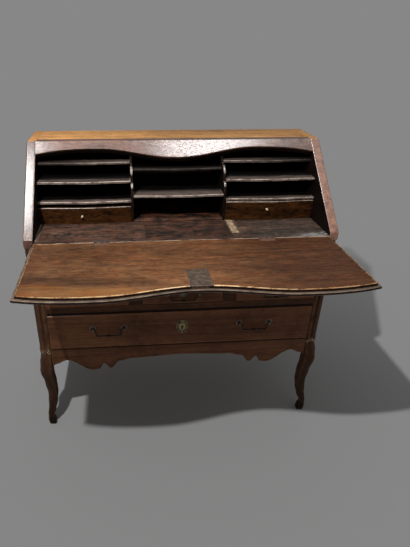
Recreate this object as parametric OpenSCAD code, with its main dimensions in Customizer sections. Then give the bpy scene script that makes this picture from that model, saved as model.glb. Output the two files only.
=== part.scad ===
// Slant-front desk on cabriole legs, with a fall, lopers, a fitted gallery and four front drawers.
// Millimetres, +Z up. The front faces -Y, and the fall stands open, resting on the lopers.

/* [Whole desk] */
// Width of the case
desk_w = 1035; // [1000:1:1080]
// Depth of the case, from the front plane to the back
desk_d = 488; // [470:1:520]
// Height to the top
desk_h = 1026; // [1010:1:1034]
// Height of the writing surface
writing_h = 770; // [762:1:778]
// Depth of the top, from the slant's upper arris to the back
top_d = 190; // [180:1:200]

/* [Case] */
// Thickness of the gables beside the fall
gable_t = 31; // [28:0.5:34]
// Thickness of the top board
top_t = 22; // [18:1:25]
// Thickness of the boards of the front
front_t = 22; // [20:1:24]
// How far the front boards stand behind the posts
front_set = 3; // [2:0.5:4]
// Width and depth of the corner posts
post_w = 40; // [38:0.5:42]
// Radius of a front post's outer corner
post_round = 20; // [16:0.5:21]
// Width of the groove beside the rounded corner
post_groove = 8; // [4:0.5:9]
// Thickness of the side panels
panel_t = 16; // [14:1:20]
// Thickness of the back boards
back_t = 10; // [8:1:12]
// Thickness of the writing floor
floor_t = 16; // [15:0.5:16.5]

/* [Legs and apron] */
// How far the square posts reach below the apron's top edge
post_drop = 23; // [18:1:28]
// Height of the apron at the middle
apron_mid_h = 48; // [44:1:52]
// Height of the apron at its large lobes
apron_lobe_h = 99; // [92:1:104]

/* [Front] */
// Height of the long drawer's front
long_h = 139.5; // [130:0.5:150]
// Height of the rail above the long drawer
mid_rail_h = 28; // [26:1:32]
// Height of the three small drawers' opening
small_h = 90; // [84:1:96]
// Height of the rail above the small drawers
small_rail_h = 30; // [26:1:34]
// Height of the frieze above that rail
frieze_h = 104; // [98:1:112]
// Half the width of the middle small drawer's opening
small_half = 143; // [130:1:150]
// Width of the uprights between the small drawers
upright_w = 45; // [36:1:54]
// Gap round the drawer fronts
drawer_gap = 1.2; // [0.8:0.1:1.8]
// Thickness of the drawer sides
drawer_side_t = 12; // [10:1:14]

/* [Slope and fall] */
// How far the gables' slope stands outside the closed fall's inner face
rebate_t = 8; // [7:0.1:8]
// Thickness of the fall's inner layer
fall_inner_t = 8.3; // [8.2:0.1:9]
// Thickness of the fall's lip
fall_lip_t = 9.2; // [8:0.1:9.2]
// How far the lip laps past the opening
lip_lap = 8.5; // [7:0.5:10]
// Gap between the fall and the opening
fall_gap = 1.5; // [1.2:0.1:2]
// Depth of the slope rail at the middle
rail_mid_d = 86.1; // [80:0.1:92]
// Depth of the slope rail at the fall's two swells
rail_lobe_d = 45; // [42:0.5:52]
// Depth of the slope rail at its ends
rail_end_d = 67.2; // [60:0.1:74]
// Distance of the swells from the gables
lobe_in = 206.5; // [190:0.5:226]
// Thickness of the slope rail
rail_t = 20; // [17:1:22]

/* [Lopers] */
// Distance of a loper's middle from the corner post
loper_in = 27.5; // [25.5:0.5:31.5]
// Thickness of a loper
loper_t = 22; // [20:0.5:24]
// Height of a loper
loper_h = 60; // [50:1:62]
// Length of a loper
loper_l = 400; // [380:1:410]
// How far a loper pulls out
loper_out = 230; // [215:1:240]
// Clearance round sliding pieces
slide_gap = 0.8; // [0.5:0.1:1]
// Glue line between the boards of one box
glue = 0.1; // [0.05:0.01:0.2]

/* [Gallery] */
// Distance of the dividers from the middle, to their centre line
divider_x = 163; // [150:1:175]
// Thickness of dividers and shelves
shelf_t = 8; // [6:0.5:9]
// Depth position of the gallery's front
gallery_y = 178; // [174:1:190]
// Swell of the shelves' front edges
shelf_swell = 8; // [4:0.5:10]
// Height of the left inner drawer
left_inner_h = 58; // [50:1:62]
// Height of the right inner drawer
right_inner_h = 67; // [60:1:68]
// Height of the side bays' lowest shelf above the writing surface
side_shelf_up = 70; // [69:1:76]
// Height of the middle bay's lowest shelf above the writing surface
centre_shelf_up = 85; // [80:1:92]
// How far the upper shelves stand behind the closed fall
gallery_set = 38; // [34:1:44]
// How far the middle bay's shelves stand behind the others
centre_set = 7; // [4:1:10]
// Left side of the well's sliding cover
well_x0 = -125; // [-135:1:-110]
// Right side of the well's sliding cover
well_x1 = 165; // [150:1:170]

/* [Hardware] */
// Distance of the fall's hinges from the gables
hinge_in = 216.5; // [190:0.5:240]
// Length of a hinge
hinge_l = 50; // [44:1:60]
// Radius of a hinge's barrel
barrel_r = 2.6; // [2.5:0.1:3]
// Radius of a hinge's pin
pin_r = 1.4; // [1.2:0.05:1.5]
// Clearance of pins in their bores
pin_gap = 0.05; // [0.03:0.01:0.08]
// Distance of the long drawer's handles from the posts
handle_in = 212.5; // [190:0.5:230]
// Distance between a handle's two posts
handle_w = 111; // [100:1:118]
// Drop of a bail
bail_drop = 25; // [22:1:28]
// Radius of a bail's rod
bail_r = 2.6; // [2.2:0.1:3]
// Height of the long drawer's handles above its lower edge
handle_up = 81; // [76:1:86]
// Height of the small drawers' handles above the rail
small_handle_up = 43; // [41:1:48]

/* [View] */
// Piece to draw, or all

/* [Hidden] */
$fn = 48;
half = desk_w / 2;
wi = half - gable_t;
post_in = half - post_w;
rise = desk_h - writing_h;
arris_y = desk_d - top_d;
slope_angle = acos(rebate_t / norm([rise, arris_y])) - atan2(arris_y, rise);
ca = cos(slope_angle);
sa = sin(slope_angle);
ta = tan(slope_angle);
slope_len = rise / sa;
reach_mid = slope_len - rail_mid_d;
reach_lobe = slope_len - rail_lobe_d;
reach_end = slope_len - rail_end_d;
lobe_x = wi - lobe_in;
loper_x = post_in - loper_in;
hinge_x = wi - hinge_in;
handle_x = post_in - handle_in;
floor_z = writing_h - floor_t;
frieze_bottom = floor_z - frieze_h;
small_top = frieze_bottom - small_rail_h;
mid_rail_top = small_top - small_h;
rail_bottom = mid_rail_top - mid_rail_h;
long_top = rail_bottom - 2.5;
long_bottom = long_top - long_h;
apron_top = long_bottom - 2;
leg_h = apron_top - post_drop;
apron_mid = apron_top - apron_mid_h;
apron_lobe = apron_top - apron_lobe_h;
handle_z = long_bottom + handle_up;
small_handle_z = mid_rail_top + small_handle_up;
fall_z = writing_h - fall_inner_t - fall_lip_t;
front_back = front_set + front_t;
back_y = desk_d - back_t - 2;
fall_out = reach_lobe + lip_lap;
front_y = -(desk_d - fall_out) / 2;
long_front_y = 1.5;
gallery_top = desk_h - top_t;
runner_y1 = desk_d - post_w;
well_y0 = 24;
well_travel = 150;
cover_l = gallery_y + 4 - well_y0;
walnut = [0.36, 0.20, 0.11];
dark_walnut = [0.27, 0.15, 0.09];
oak = [0.50, 0.36, 0.22];
brass = [0.66, 0.52, 0.28];
iron = [0.27, 0.25, 0.23];
bone = [0.88, 0.84, 0.74];

// Shapes used by many pieces

module place() {
    translate([0, front_y, 0])
        children();
}

module both() {
    children();
    mirror([1, 0, 0])
        children();
}

module block(x0, x1, y0, y1, z0, z1) {
    translate([x0, y0, z0])
        cube([x1 - x0, y1 - y0, z1 - z0]);
}

// Outline in depth and height, extruded across
module side_plate(x0, x1, pts) {
    translate([x0, 0, 0])
        rotate([90, 0, 90])
            linear_extrude(x1 - x0)
                polygon(pts);
}

// Outline in width and height, extruded in depth
module front_plate(y0, y1, pts) {
    translate([0, y1, 0])
        rotate([90, 0, 0])
            linear_extrude(y1 - y0)
                polygon(pts);
}

// Outline in plan, extruded upwards
module plan_plate(z0, z1, pts) {
    translate([0, 0, z0])
        linear_extrude(z1 - z0)
            polygon(pts);
}

// Rod along X, Y or Z
module rod_x(x0, x1, y, z, r) {
    translate([x0, y, z])
        rotate([0, 90, 0])
            cylinder(h = x1 - x0, r = r);
}

module rod_y(x, y0, y1, z, r) {
    translate([x, y1, z])
        rotate([90, 0, 0])
            cylinder(h = y1 - y0, r = r);
}

module rod_z(x, y, z0, z1, r) {
    translate([x, y, z0])
        cylinder(h = z1 - z0, r = r);
}

// Frame of the slope: X across, Y up the slope from the hinge, Z outwards
module on_slope() {
    translate([0, 0, writing_h])
        rotate([slope_angle, 0, 0])
            children();
}

function slope_z(y) = writing_h + rebate_t / ca + y * ta;
function ease(a, b, t) = a + (b - a) * (1 - cos(180 * t)) / 2;
function part_of(k, z, i) = min(1, max(0, (z - k[i][0]) / (k[i + 1][0] - k[i][0])));
function along(k, z, i = 0) =
    z <= k[i + 1][0] || i == len(k) - 2
        ? ease(k[i][1], k[i + 1][1], part_of(k, z, i))
        : along(k, z, i + 1);

// Reach of the fall up the slope
function reach_in(x) = reach_mid + (reach_lobe - reach_mid) * pow(sin(90 * x / lobe_x), 2);
function reach_past(x) = reach_lobe - (reach_lobe - reach_end) * pow((x - lobe_x) / (wi + 1.5 - lobe_x), 2.6);
function reach(x) = abs(x) < lobe_x ? reach_in(abs(x)) : reach_past(abs(x));
function reach_line(w, add, sign) =
    [for (i = [-24:24]) [w * i / 24, sign * (reach(w * i / 24) + add)]];

// Legs

// Height and how far the outer line stands outside the post
leg_outer = [
    [0, 5], [leg_h * 0.06, 6], [leg_h * 0.134, 3.5], [leg_h * 0.284, -2.5], [leg_h * 0.433, -5.5],
    [leg_h * 0.597, 0], [leg_h * 0.782, 9], [leg_h * 0.896, 5.5], [leg_h, 0]
];
// Height and distance of the inner line from the post's outer face
leg_inner = [
    [0, 24.5], [leg_h * 0.06, 22.5], [leg_h * 0.134, 17], [leg_h * 0.209, 28.5], [leg_h * 0.313, 37],
    [leg_h * 0.433, 42], [leg_h * 0.567, 41.5], [leg_h * 0.716, 38], [leg_h * 0.851, 37.5], [leg_h, post_w]
];
leg_steps = 40;
function leg_z(i) = leg_h * i / leg_steps;
function leg_out(z) = along(leg_outer, z);
function leg_in(z) = along(leg_inner, z);

// Outline of a leg from its outer plane inwards, with its outer curve scaled by k
function leg_outline(k) = concat(
    [for (i = [0:leg_steps]) [-k * leg_out(leg_z(i)), leg_z(i)]],
    [for (i = [leg_steps:-1:0]) [leg_in(leg_z(i)), leg_z(i)]]
);

// The leg is sawn to one outline from the front and to one from the side
module cabriole(k_front, k_side) {
    intersection() {
        mirror([1, 0, 0])
            translate([-half, 0, 0])
                front_plate(-30, 80, leg_outline(k_front));
        side_plate(half - 80, half + 30, leg_outline(k_side));
    }
}

function quarter(cx, cy, r, a0, a1, n) =
    [for (i = [0:n]) [cx + r * cos(a0 + (a1 - a0) * i / n), cy + r * sin(a0 + (a1 - a0) * i / n)]];

post_flat = post_round + post_groove;
front_post_section = concat(
    [[post_w, post_w], [post_w, 0], [post_flat, 0], [post_flat, 3], [post_round, 3]],
    quarter(post_round, post_round, post_round, 270, 180, 8),
    [[3, post_round], [3, post_flat], [0, post_flat], [0, post_w]]
);

// Tenons of the front boards, right side
module front_tenon(z0, z1) {
    block(post_in, post_in + 28, front_set + 7, front_set + 15, z0, z1);
}

module front_tenons() {
    front_tenon(apron_top - 50, apron_top - 6);
    front_tenon(rail_bottom + 4, mid_rail_top - 4);
    front_tenon(small_top + 4, frieze_bottom - 4);
    front_tenon(frieze_bottom + 12, floor_z - 14);
}

peg_heights = [
    apron_top - 38, apron_top - 18, mid_rail_top - 14, small_top + 15, frieze_bottom + 30, floor_z - 30
];

module right_pegs() {
    for (z = peg_heights)
        rod_y(post_in + 6, -0.4, front_set + 17, z, 3);
    for (z = [leg_h + 20, mid_rail_top + 10, floor_z - 30])
        rod_x(half - 12, half + 0.4, desk_d - post_w + 6, z, 3);
}

// Tenon on top of a post, let into the gable
module post_top_tenon(y) {
    block(half - 20, half - 8, y, y + 16, floor_z, floor_z + 14);
}

module right_front_leg() {
    color(walnut)
        difference() {
            union() {
                cabriole(1, 1);
                mirror([1, 0, 0])
                    translate([-half, 0, 0])
                        plan_plate(leg_h, floor_z, front_post_section);
                post_top_tenon(12);
            }
            front_tenons();
            right_panel_shape();
            right_pegs();
        }
}

module left_front_leg() {
    mirror([1, 0, 0])
        right_front_leg();
}

module right_rear_leg() {
    color(walnut)
        difference() {
            union() {
                translate([0, desk_d, 0])
                    mirror([0, 1, 0])
                        cabriole(1, 0);
                block(post_in, half, desk_d - post_w, desk_d, leg_h, floor_z);
                post_top_tenon(desk_d - 28);
            }
            lower_back_housing();
            right_panel_shape();
            right_pegs();
        }
}

module left_rear_leg() {
    mirror([1, 0, 0])
        right_rear_leg();
}

// Side panels, with a scalloped lower edge

panel_x1 = half - 4;
panel_x0 = panel_x1 - panel_t;
// First step of the leg's outline that the panels and the apron meet
panel_low = 34;
function side_edge(y) = apron_mid - 12 + 16 * cos(360 * (y - desk_d / 2) / (desk_d - 110));

module right_panel_shape() {
    steps = [panel_low:leg_steps];
    side_plate(panel_x0, panel_x1, concat(
        [for (i = steps) [leg_in(leg_z(i)), leg_z(i)]],
        [[post_w, floor_z], [desk_d - post_w, floor_z]],
        [for (i = [leg_steps:-1:panel_low]) [desk_d - leg_in(leg_z(i)), leg_z(i)]],
        [for (i = [11:-1:1]) [55 + (desk_d - 110) * i / 12, side_edge(55 + (desk_d - 110) * i / 12)]]
    ));
    block(panel_x0 + 4, panel_x1 - 4, post_w - 12, desk_d - post_w + 12, leg_h + 10, floor_z - 10);
}

module right_side_panel() {
    color(walnut)
        difference() {
            right_panel_shape();
            right_pegs();
        }
}

module left_side_panel() {
    mirror([1, 0, 0])
        right_side_panel();
}

// Front boards

apron_half = half - 46.5;
apron_knots = [
    [0, apron_mid], [180, apron_mid - 8], [230, apron_mid - 18], [265, apron_mid - 50],
    [289, apron_mid - 26], [330, apron_lobe - 3], [post_in - 53, apron_mid - 4],
    [half - 56.5, apron_mid - 18], [apron_half, apron_mid - 23]
];
function apron_edge(x) = along(apron_knots, abs(x));

module front_apron() {
    steps = [panel_low:leg_steps];
    color(walnut)
        difference() {
            union() {
                front_plate(front_set, front_back, concat(
                    [for (i = [-42:42]) [i * apron_half / 42, apron_edge(i * apron_half / 42)]],
                    [for (i = steps) [half - leg_in(leg_z(i)), leg_z(i)]],
                    [[post_in, apron_top], [-post_in, apron_top]],
                    [for (i = [leg_steps:-1:panel_low]) [-(half - leg_in(leg_z(i))), leg_z(i)]]
                ));
                both()
                    front_tenon(apron_top - 50, apron_top - 6);
            }
            both()
                right_pegs();
        }
}

module upright_tenons() {
    both()
        block(small_half + 12, small_half + upright_w - 12, front_set + 7, front_set + 15,
            mid_rail_top - 10, small_top + 10);
}

module middle_rail() {
    color(walnut)
        difference() {
            union() {
                block(-post_in, post_in, front_set, front_back, rail_bottom, mid_rail_top);
                both()
                    front_tenon(rail_bottom + 4, mid_rail_top - 4);
            }
            upright_tenons();
            block(-13, 13, 13, 20, rail_bottom - 1, rail_bottom + 10);
            block(-post_in, post_in, front_back - 5, front_back + 1, mid_rail_top - 12, mid_rail_top - 4);
            both()
                right_pegs();
        }
}

module small_drawer_rail() {
    color(walnut)
        difference() {
            union() {
                block(-post_in, post_in, front_set, front_back, small_top, frieze_bottom);
                both()
                    front_tenon(small_top + 4, frieze_bottom - 4);
            }
            upright_tenons();
            both()
                right_pegs();
        }
}

module drawer_uprights() {
    color(walnut) {
        both()
            block(small_half, small_half + upright_w, front_set, front_back, mid_rail_top, small_top);
        upright_tenons();
    }
}

module frieze_board() {
    color(walnut)
        difference() {
            union() {
                block(-post_in, post_in, front_set, front_back, frieze_bottom, floor_z);
                both()
                    front_tenon(frieze_bottom + 12, floor_z - 14);
            }
            both()
                block(loper_x - loper_t / 2 - slide_gap, loper_x + loper_t / 2 + slide_gap,
                    front_set - 1, front_back + 1, fall_z - loper_h - slide_gap, floor_z + 1);
            both()
                right_pegs();
        }
}

module dust_board() {
    color(oak) {
        block(-post_in + 1, post_in - 1, front_back, runner_y1, mid_rail_top - 12, mid_rail_top);
        block(-post_in + 1, post_in - 1, front_back - 5, front_back, mid_rail_top - 12, mid_rail_top - 4);
    }
}

// Runners under the long drawer, guides beside it and between the small drawers
module drawer_runners() {
    color(oak)
        both() {
            block(post_in - 24, panel_x0, post_w, runner_y1, apron_top - 18, long_bottom + 1.7);
            block(post_in - 24, post_in, front_back, post_w - glue, apron_top - 18, long_bottom + 1.7);
            block(post_in - 1.5, panel_x0, post_w, runner_y1, long_bottom + 1.7 + glue, long_bottom + 24);
            block(small_half + 0.3, small_half + upright_w - 0.3, front_back, runner_y1,
                mid_rail_top, mid_rail_top + 30);
            block(post_in + 0.5, panel_x0, post_w, runner_y1, mid_rail_top - 12, mid_rail_top + 30);
        }
}

// Upper case

nose_r = 8.5;
nose_y = 2;
nose_cy = nose_y + nose_r;
nose_cz = slope_z(nose_cy) - nose_r / ca;

module right_gable() {
    color(walnut)
        difference() {
            side_plate(wi, half, concat(
                [[nose_y, floor_z], [desk_d, floor_z], [desk_d, desk_h], [arris_y, desk_h]],
                quarter(nose_cy, nose_cz, nose_r, 90 + slope_angle, 180, 6)
            ));
            top_board();
            slope_rail_blank();
            writing_floor_blank();
            upper_back_housing();
            shelf_set(1);
            post_top_tenon(12);
            post_top_tenon(desk_d - 28);
        }
}

module left_gable() {
    mirror([1, 0, 0])
        right_gable();
}

module top_board() {
    color(walnut) {
        side_plate(-wi, wi, [
            [(rise + rail_inner / ca) / ta + glue / 2, desk_h],
            [desk_d, desk_h],
            [desk_d, gallery_top],
            [(rise - top_t + rail_inner / ca) / ta + glue / 2, gallery_top]
        ]);
        both()
            block(wi, wi + 9, arris_y + 55, desk_d - 30, desk_h - top_t + 6, desk_h - 7);
    }
}

// Depth of the slope rail's back behind the closed fall's inner face
rail_inner = rail_t - rebate_t;

module slope_rail_blank() {
    difference() {
        on_slope() {
            plan_plate(-rail_inner, rebate_t, concat(
                reach_line(wi, 0, 1),
                [[wi, slope_len + 70], [-wi, slope_len + 70]]
            ));
            both()
                translate([wi, reach_end + 14, -rail_inner + 5])
                    cube([9, 34, rail_t - 12]);
        }
        block(-half, half, 0, desk_d, desk_h, desk_h + 200);
    }
}

module slope_rail() {
    color(walnut)
        difference() {
            slope_rail_blank();
            on_slope()
                translate([-18, reach_mid - 5, 1])
                    cube([36, 17, 6.4]);
        }
}

// Back boards, each one solid, below and above the writing floor
module back_courses(x, z0, z1, n) {
    h = (z1 - z0) / n;
    for (i = [0:n - 1])
        block(-x, x, back_y, back_y + back_t, z0 + i * h, z0 + (i + 1) * h - glue);
}

module lower_back_housing() {
    block(-post_in - 8, post_in + 8, back_y, back_y + back_t, leg_h + 5, floor_z);
}

module upper_back_housing() {
    block(-wi - 8, wi + 8, back_y, back_y + back_t, floor_z, gallery_top);
}

module back_boards() {
    color(oak) {
        back_courses(post_in + 8, leg_h + 5, floor_z, 5);
        back_courses(wi + 8, floor_z, gallery_top, 3);
    }
}

module writing_floor_blank() {
    block(-wi, wi, 0, back_y, floor_z, writing_h);
    both()
        block(wi, wi + 8, 36, desk_d - 36, floor_z, writing_h);
}

module hinge_notches() {
    both()
        rod_x(hinge_x - hinge_l / 2 - 0.5, hinge_x + hinge_l / 2 + 0.5, 0, writing_h, barrel_r + 0.4);
}

module writing_floor() {
    y1 = well_y0 + cover_l + well_travel + 4;
    color(dark_walnut)
        difference() {
            writing_floor_blank();
            block(well_x0, well_x1, well_y0, y1, floor_z - 1, writing_h + 1);
            block(well_x0 - 6.5, well_x1 + 6.5, well_y0, y1, writing_h - 12.3, writing_h - 6.7);
            hinge_notches();
            frame_leaf_plates();
            both()
                knuckle_arms(0, 1);
            leaf_screws(1);
        }
}

module well_cover() {
    color(dark_walnut) {
        block(well_x0 + 0.5, well_x1 - 0.5, well_y0 + 0.5, well_y0 + cover_l,
            writing_h - 12, writing_h - 0.4);
        for (x = [well_x0 - 5.5, well_x1 - 0.5])
            block(x, x + 6, well_y0 + 0.5, well_y0 + cover_l, writing_h - 12, writing_h - 7);
    }
}

well_bottom = frieze_bottom + 14;
module well_box() {
    x0 = well_x0 - 16;
    x1 = well_x1 + 16;
    y0 = front_back + 1;
    y1 = well_y0 + cover_l + well_travel + 10;
    color(oak) {
        for (x = [x0, x1 - 10])
            block(x, x + 10, y0, y1, well_bottom, floor_z);
        for (y = [y0, y1 - 10])
            block(x0 + 10 + glue, x1 - 10 - glue, y, y + 10, well_bottom, floor_z);
        block(x0 + 10 + glue, x1 - 10 - glue, y0 + 10 + glue, y1 - 10 - glue, well_bottom, well_bottom + 8);
    }
}

// Lopers

module right_loper_guide() {
    x0 = loper_x - loper_t / 2 - slide_gap;
    x1 = loper_x + loper_t / 2 + slide_gap;
    z0 = fall_z - loper_h - slide_gap;
    block(x0 - 12, x0, front_back, runner_y1, z0, floor_z);
    block(x1, x1 + 12, front_back, runner_y1, z0, floor_z);
    block(x0 - 12, x1 + 12, front_back, runner_y1, z0 - 14, z0 - glue);
    rod_x(x0 - 12, x0 + 5, 80, fall_z - 30, 3);
}

module loper_guides() {
    color(oak)
        both()
            right_loper_guide();
}

module right_loper() {
    top = fall_z - 0.3;
    color(walnut) {
        difference() {
            block(loper_x - loper_t / 2, loper_x + loper_t / 2, front_set - loper_out,
                front_set - loper_out + loper_l, top - loper_h, top);
            block(loper_x - loper_t / 2 - 1, loper_x - loper_t / 2 + 5, 80 - loper_out - 4, 84.5,
                fall_z - 34, fall_z - 26);
        }
        rod_y(loper_x, front_set - loper_out - 6, front_set - loper_out, top - 30, 3.5);
        translate([loper_x, front_set - loper_out - 10, top - 30])
            sphere(r = 7);
    }
}

module left_loper() {
    mirror([1, 0, 0])
        right_loper();
}

// Gallery

// Height of a shelf a share of the way from the lowest shelf to the top board
function shelf_z(up, share) = writing_h + up + (gallery_top - writing_h - up) * share;
function shelf_y(z) = (z - writing_h) / ta + gallery_set;
shelf_levels = [
    [shelf_z(side_shelf_up, 0), gallery_y + 2],
    for (k = [0.384, 0.69]) [shelf_z(side_shelf_up, k), shelf_y(shelf_z(side_shelf_up, k))]
];
centre_levels = [
    [shelf_z(centre_shelf_up, 0), gallery_y + centre_set],
    [shelf_z(centre_shelf_up, 0.52), shelf_y(shelf_z(centre_shelf_up, 0.52)) + centre_set]
];
function bay_swell(x, x0, x1) = shelf_swell * pow(sin(180 * (x - x0) / (x1 - x0)), 2);
function bay_line(x0, x1, y, n) =
    [for (i = [0:n]) [x0 + (x1 - x0) * i / n, y - bay_swell(x0 + (x1 - x0) * i / n, x0, x1)]];

// One shelf between two uprights, let into them by the housings
module shelf(x0, x1, y, z, t, h0, h1) {
    plan_plate(z, z + t, concat(
        bay_line(x0, x1, y, 16),
        [[x1, back_y], [x0, back_y]]
    ));
    block(x0 - h0, x0, y + 6, back_y, z, z + t);
    block(x1, x1 + h1, y + 6, back_y, z, z + t);
}

module shelf_set(side) {
    for (l = shelf_levels)
        if (side > 0)
            shelf(divider_x + shelf_t / 2, wi, l[1], l[0], shelf_t, 3, 5);
        else
            shelf(-wi, -divider_x - shelf_t / 2, l[1], l[0], shelf_t, 5, 3);
}

module left_shelves() {
    color(dark_walnut)
        shelf_set(-1);
}

module right_shelves() {
    color(dark_walnut)
        shelf_set(1);
}

module centre_shelves() {
    x = divider_x - shelf_t / 2;
    color(dark_walnut) {
        for (l = centre_levels)
            shelf(-x, x, l[1], l[0], shelf_t, 3, 3);
        block(-x, x, gallery_y + 2, back_y, writing_h, writing_h + 5);
    }
}

// Scalloped front edge of a divider between two shelves
function lobe(y0, z0, y1, z1) =
    [for (i = [0:6]) [y0 + (y1 - y0) * (1 - cos(15 * i)), z0 + (z1 - z0) * sin(15 * i)]];

divider_top_s = reach_lobe + 6;
low_z = shelf_levels[0][0];
mid_level = shelf_levels[1];
high_level = shelf_levels[2];
divider_outline = concat(
    [[back_y, writing_h], [gallery_y + 1, writing_h]],
    [[gallery_y + 1, low_z - 4], [gallery_y + 1, low_z + 9]],
    lobe(gallery_y + 2, low_z + 10, mid_level[1] + 5, mid_level[0] - 2),
    lobe(mid_level[1] + 8, mid_level[0] + 11, high_level[1] - 2, high_level[0]),
    [[divider_top_s * ca + rail_inner * sa, writing_h + divider_top_s * sa - rail_inner * ca]],
    [[(gallery_top - writing_h + rail_inner / ca) / ta, gallery_top], [back_y, gallery_top]]
);

module gallery_dividers() {
    color(dark_walnut)
        difference() {
            for (x = [-divider_x, divider_x])
                side_plate(x - shelf_t / 2, x + shelf_t / 2, divider_outline);
            shelf_set(1);
            shelf_set(-1);
            centre_shelves();
        }
}

// Inner drawers

// The bone knobs sit a little left of their drawers' middles, the right one higher
knob_off = 12;
left_knob_z = writing_h + left_inner_h * 0.5;
right_knob_z = writing_h + right_inner_h * 0.6;

module inner_drawer(x0, x1, h, knob_z) {
    y1 = back_y - 30;
    z0 = writing_h + 0.6;
    z1 = writing_h + h;
    yb = gallery_y + 12;
    difference() {
        plan_plate(z0, z1, concat(
            bay_line(x0, x1, gallery_y, 12),
            [[x1, yb], [x0, yb]]
        ));
        rod_y((x0 + x1) / 2 - knob_off, gallery_y - 20, yb, knob_z, 2.5);
    }
    for (x = [x0, x1 - 7])
        block(x, x + 7, yb + glue, y1, z0, z1 - 6);
    block(x0 + 7 + glue, x1 - 7 - glue, y1 - 7, y1, z0, z1 - 6);
    block(x0 + 7 + glue, x1 - 7 - glue, yb + glue, y1 - 7 - glue, z0, z0 + 5);
}

module left_inner_drawer() {
    color(walnut)
        inner_drawer(-wi + 1, -divider_x - shelf_t / 2 - 1, left_inner_h, left_knob_z);
}

module right_inner_drawer() {
    color(walnut)
        inner_drawer(divider_x + shelf_t / 2 + 1, wi - 1, right_inner_h, right_knob_z);
}

knob_x = (divider_x + shelf_t / 2 + wi) / 2;
module inner_knob(side, z) {
    x = side * knob_x - knob_off;
    y = gallery_y - shelf_swell;
    color(bone) {
        rod_y(x, y - 4, gallery_y + 12, z, 2.5);
        translate([x, y - 7, z])
            sphere(r = 6);
        rod_y(x, y - 2, y, z, 5.5);
    }
}

module left_inner_knob() {
    inner_knob(-1, left_knob_z);
}

module right_inner_knob() {
    inner_knob(1, right_knob_z);
}

// Hinges of the fall

knuckles = 5;
knuckle_l = hinge_l / knuckles;
leaf_d = 24;
leaf_t = 1.6;

module knuckle_set(first) {
    for (i = [first:2:knuckles - 1])
        rod_x(hinge_x - hinge_l / 2 + i * knuckle_l + 0.1, hinge_x - hinge_l / 2 + (i + 1) * knuckle_l - 0.1,
            0, writing_h, barrel_r);
}

module frame_leaf_plates() {
    both()
        block(hinge_x - hinge_l / 2, hinge_x + hinge_l / 2, barrel_r + 0.4, leaf_d,
            writing_h - leaf_t, writing_h);
}

module fall_leaf_plates() {
    both()
        block(hinge_x - hinge_l / 2, hinge_x + hinge_l / 2, -leaf_d, -barrel_r - 0.4,
            writing_h - leaf_t, writing_h);
}

module knuckle_arms(first, sign) {
    for (i = [first:2:knuckles - 1])
        block(hinge_x - hinge_l / 2 + i * knuckle_l + 0.1, hinge_x - hinge_l / 2 + (i + 1) * knuckle_l - 0.1,
            sign > 0 ? 1 : -barrel_r - 0.4, sign > 0 ? barrel_r + 0.4 : -1, writing_h - leaf_t, writing_h);
}

module leaf_screws(sign) {
    both()
        for (x = [-17, 0, 17])
            translate([hinge_x + x, sign * (x == 0 ? 10 : 17), writing_h]) {
                translate([0, 0, -11])
                    cylinder(h = 11, r = 1.2);
                translate([0, 0, -1.4])
                    cylinder(h = 1.4, r = 2.4);
            }
}

module hinge_leaves(first, sign) {
    difference() {
        union() {
            if (sign > 0)
                frame_leaf_plates();
            else
                fall_leaf_plates();
            both() {
                knuckle_set(first);
                knuckle_arms(first, sign);
            }
        }
        both()
            rod_x(hinge_x - hinge_l, hinge_x + hinge_l, 0, writing_h, pin_r + pin_gap);
        leaf_screws(sign);
    }
    leaf_screws(sign);
}

module hinge_frame_leaves() {
    color(iron)
        hinge_leaves(0, 1);
}

module hinge_fall_leaves() {
    color(iron)
        hinge_leaves(1, -1);
}

module hinge_pins() {
    color(iron)
        both()
            rod_x(hinge_x - hinge_l / 2, hinge_x + hinge_l / 2, 0, writing_h, pin_r);
}

// Fall

lock_x0 = -28;
lock_x1 = 36;
lock_y0 = 104.4 - reach_mid;
key_x = -2;
key_y = 53.4 - reach_mid;

module fall_lock_case() {
    front = -reach_mid + fall_gap;
    block(lock_x0, lock_x1, front + 1, lock_y0, writing_h - 2, writing_h);
    block(lock_x0 + 6, lock_x1 - 6, front + 1, lock_y0 - 10, writing_h - 11, writing_h - 2);
    block(lock_x0, lock_x1, front - 0.8, front + 1, writing_h - fall_inner_t, writing_h);
}

module fall_bolt_pocket() {
    block(-14.3, 14.3, -reach_mid - 2, -reach_mid + 47, writing_h - 7.1, writing_h - 2.1);
}

module fall_shape() {
    plan_plate(writing_h - fall_inner_t, writing_h, concat(
        reach_line(wi - fall_gap, -fall_gap, -1),
        [[wi - fall_gap, -0.4], [-wi + fall_gap, -0.4]]
    ));
    plan_plate(fall_z, writing_h - fall_inner_t, concat(
        reach_line(wi + lip_lap, lip_lap, -1),
        [[wi + lip_lap, -1], [-wi - lip_lap, -1]]
    ));
}

module fall_board() {
    color(walnut)
        difference() {
            fall_shape();
            fall_lock_case();
            fall_bolt_pocket();
            hinge_notches();
            fall_leaf_plates();
            both()
                knuckle_arms(1, -1);
            leaf_screws(-1);
            rod_z(key_x, key_y, fall_z - 2, writing_h, 3.5);
        }
}

module fall_lock() {
    color(iron)
        difference() {
            fall_lock_case();
            fall_bolt_pocket();
            rod_z(key_x, key_y, fall_z, writing_h + 1, 3.5);
        }
}

module fall_lock_bolt() {
    color(iron)
        block(-14, 14, -reach_mid + 1.5, -reach_mid + 36, writing_h - 6.8, writing_h - 2.4);
}

// Outline of a pierced shield, w wide and h high
function shield(w, h, n) =
    [for (i = [0:n - 1]) let (a = 360 * i / n, k = 1 + 0.09 * cos(6 * a))
        [w / 2 * k * cos(a) / 1.09, h / 2 * k * sin(a) / 1.09]];

module keyhole(r) {
    circle(r = r);
    translate([-r * 0.55, -r * 2.6])
        square([r * 1.1, r * 2.6]);
}

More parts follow.
